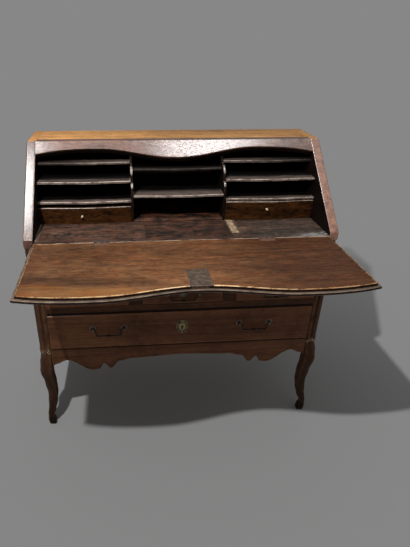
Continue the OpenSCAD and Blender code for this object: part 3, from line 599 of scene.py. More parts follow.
def finished(n, colour, rough, height, strength, distance, **more):
    """The shader of a finish, with its bumps and any more of its inputs."""
    bump = n.node("ShaderNodeBump", {"Strength": strength, "Distance": distance, "Height": height})
    n.show(n.node("ShaderNodeBsdfPrincipled",
                  {"Base Color": colour, "Roughness": rough, "Normal": bump.outputs[0], **more}))


GRAIN_DEPTH = 0.0005
TOOTH_DEPTH = 0.0003


def wood(name, light, dark, worn=(150, 112, 80), figure=1.0, pores=0.6, wear=0.5, dull=0.42, coat=0.0,
         gloss=0.35, coat_rough=0.3, bump=0.35, mottle=0.15, stain=None):
    """A finish of old wood. stain adds marks, painted shade and painted highlights at places of the desk."""
    m, n = new_finish(name)
    read = {k: n.node("ShaderNodeAttribute", attribute_name=k) for k in ("grain", "arris", "tone")}
    grain = read["grain"].outputs["Vector"]
    board = n.node("ShaderNodeGroup", node_tree=TREES["wood"])
    for key, value in (("Grain", grain), ("Arris", read["arris"].outputs["Fac"]),
                       ("Tone", read["tone"].outputs["Fac"]), ("Light", hue(*light)), ("Dark", hue(*dark)),
                       ("Worn", hue(*worn)), ("Figure", figure), ("Pores", pores), ("Wear", wear),
                       ("Dull", dull), ("Mottle", mottle)):
        n.feed(board.inputs[key], value)
    colour, rough = board.outputs["Color"], board.outputs["Roughness"]
    shine = []
    if stain:
        colour, rough, *shine = stain(n, n.object_place(), grain, colour, rough)
    more = {"Specular IOR Level": gloss}
    if coat:
        more.update({"Coat Weight": n.times(shine[0], coat) if shine else coat, "Coat Roughness": coat_rough})
    finished(n, colour, rough, board.outputs["Height"], bump, GRAIN_DEPTH, **more)
    return m


def metal(name, bright, tarnish, wear=0.5, dull=0.4, metallic=0.9):
    """A finish of old metal."""
    m, n = new_finish(name)
    g = n.node("ShaderNodeGroup", node_tree=TREES["metal"])
    rubbed = n.node("ShaderNodeAttribute", attribute_name="arris").outputs["Fac"]
    for key, value in (("Place", n.object_place()), ("Arris", rubbed), ("Bright", hue(*bright)),
                       ("Tarnish", hue(*tarnish)), ("Wear", wear), ("Dull", dull)):
        n.feed(g.inputs[key], value)
    finished(n, g.outputs["Color"], g.outputs["Roughness"], g.outputs["Height"], 0.3, TOOTH_DEPTH,
             Metallic=metallic)
    return m


# Stains, painted shade and painted highlights, at places given in the desk's millimetres

STAIN_AND_PAINTED_LIGHT = {
    "sapwood": hue(164, 112, 58), "warm": hue(255, 214, 166), "russet": hue(196, 160, 142),
    "ink": hue(58, 38, 27), "scratch": hue(190, 172, 150), "red": hue(128, 78, 54),
    "worn": hue(150, 132, 114), "dirt": hue(44, 28, 21), "dust": hue(92, 80, 70),
    "bloom": hue(190, 190, 188), "rubbed": hue(214, 186, 164), "bare": hue(150, 92, 66),
    "bleached": hue(240, 170, 104), "speck": hue(48, 30, 24), "pink": hue(206, 150, 124),
    "seam": hue(84, 68, 58), "stopped": hue(84, 62, 46), "pale": hue(190, 176, 160),
    "carved": hue(208, 190, 172), "handled": hue(196, 160, 140), "grime": hue(34, 22, 16),
}


def spot_axes(n, spot):
    """Place on the desk in millimetres, across, back from the front plane and up."""
    xyz = n.node("ShaderNodeSeparateXYZ", {0: spot})
    return (n.times(xyz.outputs[0], PER_METRE), n.less(n.times(xyz.outputs[1], PER_METRE), FRONT),
            n.times(xyz.outputs[2], PER_METRE))


def fall_stain(n, spot, grain, colour, rough):
    """Pale sapwood along the front, a redder right side, ink marks, and scratches by the left hinge."""
    x, y, z = spot_axes(n, spot)
    wave = n.times(n.less(n.noise(grain, (3.0, 20.0, 20.0), 2.0), 0.5), 26.0)
    edge = n.add(y, n.times(x, 0.155), wave)
    sap = n.times(n.span(edge, -356.0, -342.0, 1.0, 0.0), n.span(x, -150.0, 60.0, 1.0, 0.3))
    sap = n.times(sap, n.span(n.noise(grain, (5.0, 130.0, 130.0), 3.0), 0.3, 0.65, 0.45, 1.0))
    colour = n.mix(n.times(sap, 0.85), colour, n.mix(0.25, STAIN_AND_PAINTED_LIGHT["sapwood"], colour))
    seam = n.times(n.band(edge, -336.0, -296.0, 12.0), n.span(x, -150.0, 60.0, 0.26, 0.0))
    colour = n.shade(colour, n.rest(seam))
    ends = n.times(n.math("GREATER_THAN", n.math("ABSOLUTE", x), INNER - 7.0),
                   n.span(x, -500.0, 500.0, 0.5, 0.3))
    colour = n.shade(colour, n.rest(ends))
    warm = n.span(n.noise(spot, (12.0, 30.0, 1.0), 4.0, 0.7), 0.42, 0.66)
    colour = n.mix(n.times(warm, 0.5), colour, n.mix(1.0, colour, STAIN_AND_PAINTED_LIGHT["warm"], "MULTIPLY"))
    colour = n.shade(colour,
                     n.times(n.span(x, -380.0, -120.0, 0.87, 1.28), n.span(x, 40.0, 240.0, 1.0, 0.66)))
    red = n.span(n.add(x, n.times(wave, 5.0)), 60.0, 330.0)
    red = n.math("ADD", red, n.span(x, -470.0, -430.0, 0.7, 0.0), True)
    colour = n.mix(n.times(red, 0.55), colour, n.mix(1.0, colour, STAIN_AND_PAINTED_LIGHT["russet"], "MULTIPLY"))
    ink = n.span(n.noise(spot, 17.0, 5.0, 0.7), 0.56, 0.72)
    colour = n.mix(n.times(ink, 0.35), colour, STAIN_AND_PAINTED_LIGHT["ink"])
    scratch = n.span(n.noise(spot, (35.0, 260.0, 1.0), 2.0), 0.7, 0.76)
    scratch = n.times(scratch, n.times(n.band(y, -70.0, 0.0, 20.0), n.band(x, -330.0, -150.0, 40.0)))
    colour = n.mix(n.times(scratch, 0.7), colour, STAIN_AND_PAINTED_LIGHT["scratch"])
    return colour, n.add(rough, n.times(n.span(n.noise(spot, 6.0, 4.0), 0.4, 0.7), 0.1))


def floor_stain_and_shade(n, spot, grain, colour, rough):
    """Ink, wear and grey bloom of the boards behind the fall, and painted shade under the gallery."""
    x, y, z = spot_axes(n, spot)
    # Painted shade under the gallery: black from a few centimetres behind its front
    colour = n.shade(colour, n.span(y, GALLERY_Y + 12.0, GALLERY_Y + 40.0, 1.0, 0.04))
    red = n.span(n.noise(spot, (16.0, 40.0, 1.0), 4.0, 0.7), 0.44, 0.62)
    red = n.times(red, n.span(x, 100.0, 200.0, 1.0, 0.2))
    colour = n.mix(n.times(red, 0.55), colour, STAIN_AND_PAINTED_LIGHT["red"])
    worn = n.span(n.noise(spot, (30.0, 70.0, 1.0), 5.0, 0.7), 0.5, 0.7)
    worn = n.times(worn, n.span(x, 150.0, 300.0, 0.25, 0.9))
    colour = n.mix(n.times(worn, 0.7), colour, STAIN_AND_PAINTED_LIGHT["worn"])
    dirt = n.span(n.noise(spot, (22.0, 34.0, 1.0), 5.0, 0.75), 0.46, 0.66)
    colour = n.mix(n.times(dirt, 0.6), colour, STAIN_AND_PAINTED_LIGHT["dirt"])
    colour = n.mix(n.times(n.span(x, 170.0, 330.0), 0.35), colour, STAIN_AND_PAINTED_LIGHT["dust"])
    bloom = n.times(n.span(x, 330.0, 450.0), n.span(n.add(y, n.times(x, -0.16)), -20.0, -52.0))
    bloom = n.times(bloom, n.span(n.noise(spot, (40.0, 110.0, 1.0), 4.0, 0.75), 0.4, 0.56))
    colour = n.mix(n.times(bloom, 0.85), colour, STAIN_AND_PAINTED_LIGHT["bloom"])
    line = n.times(n.band(y, -2.0, 3.4, 0.8), n.span(z, WRITING - 1.4, WRITING - 0.6))
    line = n.times(line, n.span(n.noise(spot, (9.0, 2.0, 1.0), 4.0, 0.7), 0.4, 0.56))
    colour = n.mix(n.times(line, 0.8), colour, STAIN_AND_PAINTED_LIGHT["rubbed"])
    return colour, n.add(rough, 0.08)


def inner_painted_shade(n, spot, grain, colour, rough):
    """Paler at the front, and painted shade further in: black behind the shelf fronts and dimmer on the upper
    shelves under the slope rail.
    """
    x, y, z = spot_axes(n, spot)
    slanted = n.add(n.math("DIVIDE", n.less(z, WRITING), TA), SHELF_BACK)
    upper = n.math("GREATER_THAN", z, WRITING + 110.0)
    front = n.add(n.times(upper, slanted), n.times(n.rest(upper), GALLERY_Y))
    wave = n.times(n.less(n.noise(spot, 14.0, 3.0), 0.5), 16.0)
    deep = n.add(y, n.times(front, -1.0), wave)
    middle = n.band(x, -DIVIDER_X, DIVIDER_X, 0.5)
    low = n.times(middle, n.rest(upper))
    deep = n.times(deep, n.rest(n.times(low, 0.6)))
    # Painted shadow of the slope rail: the centre's upper shelf nearly black, the side bays' top shelves
    # dimmer towards their ends
    lit = n.rest(n.times(upper, middle, 0.85))
    high = n.times(n.span(z, 925.0, 945.0), n.span(n.math("ABSOLUTE", x), 250.0, 430.0, 0.35, 0.85))
    lit = n.times(lit, n.rest(high))
    # Painted shade, black from a few centimetres behind each shelf front
    return n.shade(colour, n.times(n.span(deep, 13.0, 32.0, 1.0, 0.02), lit)), rough


def top_stain_and_sheen(n, spot, grain, colour, rough):
    """Lighter towards the left end: bleached wood and a painted sheen."""
    x, y, z = spot_axes(n, spot)
    # Painted sheen: lighter to the left, darker to the right
    colour = n.shade(colour, n.span(x, -480.0, 300.0, 1.22, 0.9))
    return n.mix(n.span(x, -500.0, -420.0, 0.5, 0.0), colour, STAIN_AND_PAINTED_LIGHT["bleached"]), rough


def slope_stain_and_sheen(n, spot, grain, colour, rough):
    """Polish worn off in patches, with pink wear and a painted sheen on the right gable's slope by the rail's
    right end.
    """
    x, y, z = spot_axes(n, spot)
    bare = n.times(n.span(n.noise(spot, 11.0, 4.0, 0.6), 0.4, 0.62), n.band(x, -420.0, -130.0, 70.0))
    dull = n.add(n.times(bare, 0.22), n.times(n.span(x, 150.0, 330.0), 0.16))
    colour = n.mix(n.times(bare, 0.5), colour, STAIN_AND_PAINTED_LIGHT["bare"])
    speck = n.span(n.noise(spot, 230.0, 3.0, 0.75), 0.53, 0.68)
    colour = n.mix(n.times(speck, 0.6), colour, STAIN_AND_PAINTED_LIGHT["speck"])
    # Pink on the right gable's slope: wear and a painted sheen
    right = n.times(n.span(x, INNER - 2.5, INNER + 3.5),
                    n.span(n.noise(spot, 60.0, 4.0, 0.7), 0.36, 0.64, 0.3, 1.0))
    colour = n.mix(n.times(right, 0.75), colour, STAIN_AND_PAINTED_LIGHT["pink"])
    shine = n.span(n.noise(spot, (110.0, 190.0, 190.0), 4.0, 0.8), 0.36, 0.62, 0.25, 1.25)
    return colour, n.add(rough, dull, n.times(speck, 0.35)), shine


def strip_stain(n, spot, grain, colour, rough):
    """The pale strip is narrower than its board; dirt lies beside it."""
    x, y, z = spot_axes(n, spot)
    edge = n.times(n.less(n.noise(spot, 60.0, 3.0), 0.5), 7.0)
    beside = n.rest(n.band(n.add(x, edge), WELL_X1 + 4.0, WELL_X1 + 27.0, 1.5))
    colour = n.mix(n.times(beside, 0.85), colour, STAIN_AND_PAINTED_LIGHT["seam"])
    dirt = n.span(n.noise(spot, 70.0, 4.0, 0.7), 0.5, 0.68)
    colour = n.mix(n.times(dirt, 0.7), colour, STAIN_AND_PAINTED_LIGHT["stopped"])
    line = n.times(n.band(x, -486.0, -481.5, 0.8), n.span(n.noise(spot, 30.0, 3.0), 0.3, 0.5))
    return n.mix(n.times(line, 0.8), colour, STAIN_AND_PAINTED_LIGHT["pale"]), rough


def facade_stain_and_painted_light(n, spot, grain, colour, rough):
    """Painted shade towards the feet, on the left post and beside it, painted highlights and wear on the
    carving, a painted shadow and highlight at the long drawer's top, grime, and lines at the joints.
    """
    x, y, z = spot_axes(n, spot)
    # Painted shade: darker towards the feet, and the feet darker still
    colour = n.shade(colour, n.span(z, 10.0, LEG - 5.0, 0.42, 1.0))
    colour = n.shade(colour, n.span(z, 26.0, 42.0, 0.45, 1.0))
    # Painted shade on the left post, and on the facade left of a slanting line that follows the edge of the
    # fall's shadow
    colour = n.shade(colour, n.span(x, -477.0, -474.0, 0.78, 1.0))
    beside = n.add(x, n.times(z, 0.22), 346.0)
    on_post = n.math("LESS_THAN", x, 3.0 - POST_IN)
    colour = n.shade(colour, n.math("MAXIMUM", n.span(beside, -8.0, 3.0, 0.58, 1.0), on_post))
    # Pale flecks on the carved cuff: painted highlights and worn wood
    carved = n.times(n.band(z, LEG + 5.0, LEG + 22.0, 2.0),
                     n.math("GREATER_THAN", n.math("ABSOLUTE", x), POST_IN + 0.5))
    carved = n.times(carved, n.span(y, 20.0, 60.0, 1.0, 0.0),
                     n.span(n.noise(spot, 120.0, 3.0, 0.7), 0.5, 0.6))
    colour = n.mix(n.times(carved, 0.75), colour, STAIN_AND_PAINTED_LIGHT["carved"])
    within = n.band(x, -474.0, 474.0, 2.0)
    # Painted shadow in the gap above the long drawer
    gap_shadow = n.times(n.band(z, DRAWER_TOP + 0.5, DRAWER_TOP + 9.5, 1.5), within, 0.9)
    colour = n.shade(colour, n.rest(gap_shadow))
    seam = n.times(n.band(z, APRON_TOP - 4.0, APRON_TOP + 2.2, 1.5), within, 0.8)
    colour = n.shade(colour, n.rest(seam))
    # Painted highlight along the long drawer's top edge at the left
    handled = n.times(n.band(z, DRAWER_TOP - 3.7, DRAWER_TOP + 0.5, 0.6), n.span(x, -420.0, -280.0, 1.0, 0.1))
    colour = n.mix(n.times(handled, within, 0.5), colour, STAIN_AND_PAINTED_LIGHT["handled"])
    grime = n.span(n.noise(spot, 9.0, 5.0, 0.7), 0.45, 0.7)
    return n.mix(n.times(grime, 0.4), colour, STAIN_AND_PAINTED_LIGHT["grime"]), rough


TREES = {}
FINISH = {}
# How light the walnut of legs, posts and rails is, as a share of that of the apron and the drawer fronts
RAIL_SHARE = 0.44


def bone():
    """Old bone with its fine lines."""
    m, n = new_finish("bone")
    spot = n.object_place()
    stain = n.noise(spot, 240.0, 4.0)
    lines = n.noise(spot, (900.0, 60.0, 900.0), 2.0)
    colour = n.mix(n.span(stain, 0.4, 0.7), hue(226, 212, 178), hue(178, 152, 108))
    colour = n.mix(n.times(n.span(lines, 0.5, 0.7), 0.35), colour, hue(140, 112, 76))
    finished(n, colour, n.span(stain, 0.3, 0.8, 0.28, 0.45), lines, 0.2, 0.0002)
    return m


def make_finishes(look):
    """All finishes of the desk, mixed from the colours set by the user."""
    TREES.update({"wood": wood_figure(), "metal": old_metal()})
    f = FINISH

    def on_screen(colour, share=1.0):
        return [255 * (c ** (1 / 2.2)) * share ** (1 / 2.2) for c in colour]
    light, dark = look.walnut_light, look.walnut_dark
    wear, polish = look.wear, look.polish
    f["walnut"] = wood("walnut", on_screen(light, RAIL_SHARE), on_screen(dark, RAIL_SHARE), wear=wear,
                       dull=0.46, gloss=0.12, stain=facade_stain_and_painted_light)
    f["top"] = wood("walnut_top", (252, 190, 118), (200, 138, 78), (250, 206, 150), figure=1.2, wear=wear,
                    dull=0.5, gloss=0.15, mottle=0.3, stain=top_stain_and_sheen)
    f["slope"] = wood("walnut_slope", (140, 92, 70), (84, 52, 40), (196, 160, 138), wear=wear, dull=0.3,
                      gloss=0.5, coat=0.9 * polish, coat_rough=0.2, bump=0.9, mottle=0.5, stain=slope_stain_and_sheen)
    f["fall"] = wood("walnut_fall", (150, 104, 66), (102, 66, 42), (255, 214, 160), figure=1.1, pores=0.8,
                     wear=1.6, dull=0.5, gloss=0.15, mottle=0.5, stain=fall_stain)
    # Rebate wall of the fall: near black, partly dirt and partly painted shade
    f["rebate"] = wood("dark_rebate", (44, 28, 21), (22, 14, 11), (80, 58, 44), wear=0.5 * wear, dull=0.6,
                       gloss=0.1)
    # Lip of the fall: rubbed pale, and greyed as a painted sheen
    f["lip"] = wood("worn_lip", (122, 100, 84), (70, 52, 40), (170, 150, 128), wear=1.0, dull=0.4, gloss=0.3,
                    coat=0.3 * polish, coat_rough=0.25, mottle=0.5)
    worn_board = {"figure": 1.3, "pores": 0.9, "wear": wear, "dull": 0.6, "gloss": 0.15, "mottle": 1.3,
                  "stain": floor_stain_and_shade}
    f["floor"] = wood("walnut_floor", (114, 83, 67), (46, 33, 26), (150, 128, 108), **worn_board)
    f["cover"] = wood("walnut_cover", (76, 52, 38), (30, 20, 15), (140, 116, 96), **worn_board)
    f["facade"] = wood("walnut_facade", on_screen(light), on_screen(dark), wear=wear, dull=0.42, gloss=0.12,
                       stain=facade_stain_and_painted_light)
    f["peg"] = wood("walnut_pegs", (88, 60, 44), (44, 30, 22), wear=wear, dull=0.5, gloss=0.2)
    f["strip"] = wood("pale_strip", (236, 208, 168), (170, 140, 108), (236, 214, 184), wear=wear, dull=0.6,
                      gloss=0.2, mottle=0.6, stain=strip_stain)
    # Shelves: walnut greyed and paled as a painted grazing sheen, with pale worn front arrises that also
    # serve as painted highlights
    f["inner"] = wood("walnut_inner", (140, 122, 112), (88, 72, 64), (226, 206, 190), wear=1.3, dull=0.5,
                      gloss=0.2, mottle=0.5, stain=inner_painted_shade)
    # Near black: painted shade for faces inside the gallery, the gables' inner faces and the slope rail's
    # underside
    f["inside"] = wood("dark_inside", (32, 20, 15), (15, 9, 7), (96, 70, 54), wear=0.6 * wear, dull=0.6,
                       gloss=0.08)
    # Pale, worn edges that also serve as painted highlights on the divider lobes and the inner drawers' top
    # arris
    f["edge"] = wood("worn_edge", (160, 138, 121), (108, 87, 72), (236, 220, 204), wear=1.0, dull=0.36,
                     gloss=0.5, coat=0.6 * polish, coat_rough=0.2)
    f["drawer"] = wood("walnut_small_drawer", (88, 52, 22), (46, 24, 8), (150, 104, 62), wear=wear, dull=0.46,
                       gloss=0.12, mottle=0.9)
    f["oak"] = wood("oak", (168, 134, 94), (112, 84, 54), (190, 160, 122), pores=0.9, wear=0.4 * wear,
                    dull=0.62, gloss=0.3)
    f["dark_oak"] = wood("dark_oak", (116, 88, 62), (70, 50, 34), (140, 114, 86), pores=0.9, wear=0.4 * wear,
                         dull=0.66, gloss=0.25)
    f["brass"] = metal("old_brass", (180, 160, 112), (58, 50, 28), wear=1.0, dull=0.36, metallic=0.5)
    f["dark_brass"] = metal("dark_brass", (156, 139, 120), (34, 28, 22), wear=0.9, dull=0.42, metallic=0.4)
    f["dim_brass"] = metal("dim_brass", (158, 142, 92), (50, 44, 28), wear=0.9, dull=0.45, metallic=0.4)
    f["bail"] = metal("black_brass", (58, 46, 38), (20, 16, 13), wear=0.4, dull=0.45, metallic=0.3)
    f["iron"] = metal("old_iron", (132, 110, 88), (70, 54, 41), wear=0.6, dull=0.55, metallic=0.4)
    f["hinge"] = metal("brown_hinge_iron", (142, 92, 58), (106, 66, 40), wear=0.4, dull=0.75, metallic=0.0)
    f["leaf"] = metal("dark_hinge_iron", (92, 62, 46), (58, 40, 31), wear=0.4, dull=0.75, metallic=0.0)
    f["bone"] = bone()


# Case

def make_top():
    front_top = (RISE + MITRE / CA) / TA + 0.05
    front_low = (RISE - TOP_T + MITRE / CA) / TA + 0.05
    s = Shape(3)
    s.plate([(front_top, HEIGHT), (front_low, TOP_IN), (DEPTH, TOP_IN), (DEPTH, HEIGHT)], -INNER, INNER, "yz",
            corner=1.2, axis="x")
    s.dress("top_board", ["top"], "walnut")


NOSE_R = 8.5
NOSE_Y = 10.5


def nose():
    """The rounded lower end of a gable's slanted edge."""
    z = WRITING + PROUD / CA + NOSE_Y * TA - NOSE_R / CA
    return [(NOSE_Y + NOSE_R * math.cos(a), z + NOSE_R * math.sin(a))
            for a in np.linspace(math.pi / 2 + SLOPE, math.pi, 10)]


def make_gables():
    def gable():
        s = Shape(5)
        s.plate([(2, FLOOR), (DEPTH, FLOOR), (DEPTH, HEIGHT), (ARRIS_Y, HEIGHT), *nose()], INNER, HALF, "yz",
                low=eased(1.2, 2), high=eased(4.0, 5), corner=2.0, axis="y")
        return s

    def part_of_gable(p, normal):
        if normal.z > 0.85 and abs(p[0]) < HALF - 5:
            return 1
        # Inner faces take the near-black inside finish, a painted shade
        if abs(normal.x) > 0.7:
            return 2 if normal.x * p[0] < 0 else 3
        return 0
    for side, s in both_hands(gable):
        s.dress(side + "_gable", ["slope", "top", "inside", "walnut"], "walnut", zones=part_of_gable)


# One row of the slope rail's section: distance up the slant, out from it, wear, and drop of the upper edge
RAIL_SECTION = ((4, -12, 0, 1.5), (1.2, -12, 0.3, 0.6), (0, -10.8, 0.8, 0), (0, -7, 0, 0), (0, 2.5, 0, 0),
                (0.3, 4.3, 0.6, 0), (1.3, 6.2, 1, 0), (2.9, 7.5, 0.8, 0), (4.6, PROUD, 0.3, 0.5),
                (9, PROUD, 0, 3))


def make_slope_rail():
    steps = 120
    xs = [INNER * (2 * k / steps - 1) for k in range(steps + 1)]
    rows, wear = [], []
    for d, n, w, drop in RAIL_SECTION:
        top = (RISE - n * CA) / SA - drop
        tall = w if n < 7 else 0.9
        rows.append([(x, reach(x) + d, n) for x in xs] + [(INNER, top, n), (-INNER, top, n)])
        wear.append([w] * len(xs) + [tall, tall])
    s = Shape(8)
    s.rows(rows, wear, axis="x", seat=on_slope)
    # The rail's underside and back take the near-black inside finish, a painted shade
    s.dress("slope_rail", ["slope", "inside"], "walnut",
            zones=lambda p, normal: int(-normal.y * CA - normal.z * SA > 0.6 or normal.y > 0.3))


def arc(cx, cy, r, a0, a1, n):
    """Points of an arc, by its middle, its radius and two angles in degrees."""
    turns = [math.radians(a0 + (a1 - a0) * k / n) for k in range(n + 1)]
    return [(cx + r * math.cos(a), cy + r * math.sin(a)) for a in turns]


def post_section():
    """Section of a corner post, with a groove on both sides of its rounded corner."""
    row = [*arc(39, 39, 1, 90, 0, 3), *arc(39, 1, 1, 0, -90, 3), (28.3, 0), (27.9, 2.9), (20.3, 3),
           (19.9, 0.1), *arc(20, 20, 20, 270, 180, 16), (0.1, 19.9), (3, 20.3), (2.9, 27.9), (0, 28.3),
           *arc(1, 39, 1, 180, 90, 3)]
    groove = [0.8, 0, 0, 0.8]
    return row, [0.5] * 8 + groove + [0.3] * 17 + groove + [0.5] * 4


FLUTE_LOW, FLUTE_TOP = 214, 322


def leg_row(z):
    """Section of a front leg or post, from its inner back corner round by the front to the outer back."""
    o, i = along(LEG_OUTER, z), along(LEG_INNER, z)
    w = i + o
    r_in = min(0.16 * w, 6)
    r_out = 0.42 * w if z < 40 else 0.34 * w
    flat = (0.66, 0.62, 0.55, 0.5)
    row = arc(i - r_in, i - r_in, r_in, 90, 0, 3) + arc(i - r_in, -o + r_in, r_in, 0, -90, 3)
    row += [(-o + w * t, -o) for t in flat]
    wear = [0.3] * 4 + [0.4] * 4 + [0] * 4
    flute = 0.0
    if FLUTE_LOW < z < FLUTE_TOP:
        flute = 1.7 * math.sin(math.pi * (z - FLUTE_LOW) / (FLUTE_TOP - FLUTE_LOW))
    for k in range(17):
        a = math.radians(270 - 90 * k / 16)
        wave = 0.5 * math.cos(2 * math.pi * k / 4)
        r = r_out - flute * (0.5 + wave)
        row.append((-o + r_out + r * math.cos(a), -o + r_out + r * math.sin(a)))
        wear.append(0.5 if flute == 0 else 0.75 * (0.5 - wave))
    row += [(-o, -o + w * t) for t in reversed(flat)] + arc(-o + r_in, i - r_in, r_in, 180, 90, 3)
    wear += [0] * 4 + [0.3] * 4
    post = min(1.0, max(0.0, (z - FLUTE_TOP) / 18))
    if post > 0:
        t = post * post * (3 - 2 * post)
        post_row, post_wear = post_section()
        row = [(a[0] + (b[0] - a[0]) * t, a[1] + (b[1] - a[1]) * t) for a, b in zip(row, post_row)]
        wear = [a + (b - a) * t for a, b in zip(wear, post_wear)]
    return row, wear


# How far the cuff between leg and post stands out at each height
CUFF = {344: 1.4, 346: 1.9, 350: 2.1, 356: 1.9, 361: 1.1}


def make_front_legs():
    def leg():
        s = Shape(12)
        levels = [0, 1.5, 4, 8, 12, 16, 20, 24, 28, *np.linspace(32, 210, 42),
                  *np.linspace(FLUTE_LOW, 342, 52), *CUFF, 363, 400, 500, 600, 700, 752, FLOOR]
        rows, wear = [], []
        for z in levels:
            row, w = leg_row(z)
            grow = CUFF.get(z, z * 0.6 - 1.6 if z < 3 else 0.0)
            row = offset(row[::-1], -grow)[::-1] if grow else row
            if z in CUFF:
                row = [(min(a, 39.6), min(b, 39.6)) for a, b in row]
                w = [max(v, 0.95) if a < 30 and b < 30 else v for v, (a, b) in zip(w, row)]
            rows.append([(HALF - a, b, z) for a, b in row])
            wear.append(w)
        s.rows(rows, wear, axis="z")
        return s
    for side, s in both_hands(leg):
        s.dress(side + "_front_leg", ["walnut"], "walnut", sharp=42)


def make_rear_legs():
    def leg():
        s = Shape(14)
        rows, wear = [], []
        for z in [0, 1.5, 4, 8, 16, 24, *np.linspace(32, LEG, 60), 340, 500, 700, FLOOR]:
            o, i = (along(LEG_OUTER, z), along(LEG_INNER, z)) if z < LEG else (0, POST)
            pull = 1.2 if z < 1 else 0.5 if z < 2 else 0
            row = offset(soften([(-o, 0), (i, 0), (i, i), (-o, i)], 3.5 if z < LEG else 1.2), pull)
            rows.append([(HALF - a, DEPTH - b, z) for a, b in row])
            wear.append([0.7] * len(row))
        s.rows(rows, wear, axis="z")
        return s
    for side, s in both_hands(leg):
        s.dress(side + "_rear_leg", ["walnut"], "walnut")


def make_side_panels():
    def panel():
        low = [(along(LEG_INNER, z), z) for z in np.linspace(KNEE, LEG, 12)]
        edge = [(y, 310 - 12 + 16 * math.cos(2 * math.pi * (y - DEPTH / 2) / (DEPTH - 110)))
                for y in np.linspace(DEPTH - 62, 62, 60)]
        far = [(DEPTH - y, z) for y, z in reversed(low)]
        s = Shape(17)
        s.plate([*low, (POST, FLOOR), (DEPTH - POST, FLOOR), *far, *edge], PANEL_IN, HALF - 4, "yz",
                low=eased(1, 2), high=eased(1.6, 3), corner=0.6, axis="z")
        return s
    for side, s in both_hands(panel):
        s.dress(side + "_side_panel", ["walnut"], "walnut")


def apron_low(x):
    """Lower edge of the apron, which near its ends follows the leg."""
    x = abs(x)
    if x <= APRON_HALF:
        return apron_edge(x)
    a, b = KNEE, LEG
    for _ in range(20):
        z = (a + b) / 2
        a, b = (a, z) if HALF - along(LEG_INNER, z) > x else (z, b)
    return a


def make_apron():
    xs = sorted([-POST_IN, POST_IN, *np.linspace(-APRON_HALF, APRON_HALF, 300),
                 *[s * x for s in (-1, 1) for x in np.linspace(APRON_HALF + 0.5, POST_IN - 0.2, 9)]])
    turns = np.linspace(0, math.pi / 2, 5)
    rows = []
    for x in xs:
        z = min(apron_low(x), APRON_TOP - 8)
        front = [(FACE + 2.4 * (1 - math.cos(t)), z + 2.4 * (1 - math.sin(t))) for t in turns]
        rows.append([(x, a, b) for a, b in [
            (FACE, APRON_TOP - 0.8), (FACE, APRON_TOP - 4), (FACE, z + 14), (FACE, z + 6), *front, (15, z),
            (24, z), (FACE_BACK, z + 1), (FACE_BACK, z + 6), (FACE_BACK, APRON_TOP), (3.8, APRON_TOP)]])
    s = Shape(19)
    s.rows(rows, [[0.8, 0, 0, 0, 0.2, 0.5, 0.8, 0.8, 0.6, 0, 0.3, 0.3, 0, 0, 0.8]] * len(rows), axis="x")
    s.dress("front_apron", ["facade"], "walnut")
    end = APRON_HALF - 5
    bead = bead_along([(x, FACE + 0.4, apron_edge(x) + 6.5) for x in np.linspace(-end, end, 260)], 2.2,
                      "facade")
    seat_piece(bead, "front_apron_bead", "desk_case", ())


def make_front_rails():
    mortise = box_shape(-BOLT_X, BOLT_X, *BOLT_Y, 500, 509)
    for name, (z0, z1), cuts in (("middle_rail", MIDDLE_RAIL, [mortise]),
                                 ("small_drawer_rail", SMALL_RAIL, [])):
        s = Shape(z0)
        s.board(-POST_IN, POST_IN, FACE, FACE_BACK, z0, z1, 1.0)
        s.dress(name, ["walnut"], "walnut", cuts=cuts)
    s = Shape(23)
    x0, x1 = UPRIGHT
    for a, b in ((-x1, -x0), (x0, x1)):
        s.board(a, b, FACE, FACE_BACK, MIDDLE_RAIL[1], SMALL_RAIL[0], 1.0)
    s.dress("drawer_uprights", ["walnut"], "walnut")
    x0, x1, low, rail = *LOPER_SLOT, LOPER_LOW, SMALL_RAIL[1]
    s = Shape(24)
    s.plate([(-POST_IN, rail), (POST_IN, rail), (POST_IN, FLOOR), (x1, FLOOR), (x1, low), (x0, low),
             (x0, FLOOR), (-x0, FLOOR), (-x0, low), (-x1, low), (-x1, FLOOR), (-POST_IN, FLOOR)],
            FACE, FACE_BACK, "xz", corner=0.8, axis="x")
    s.dress("frieze_board", ["walnut"], "walnut")


WELL_BOX = (-141.0, 181.0, 26.0, 346.0)
WELL_LOW = 664


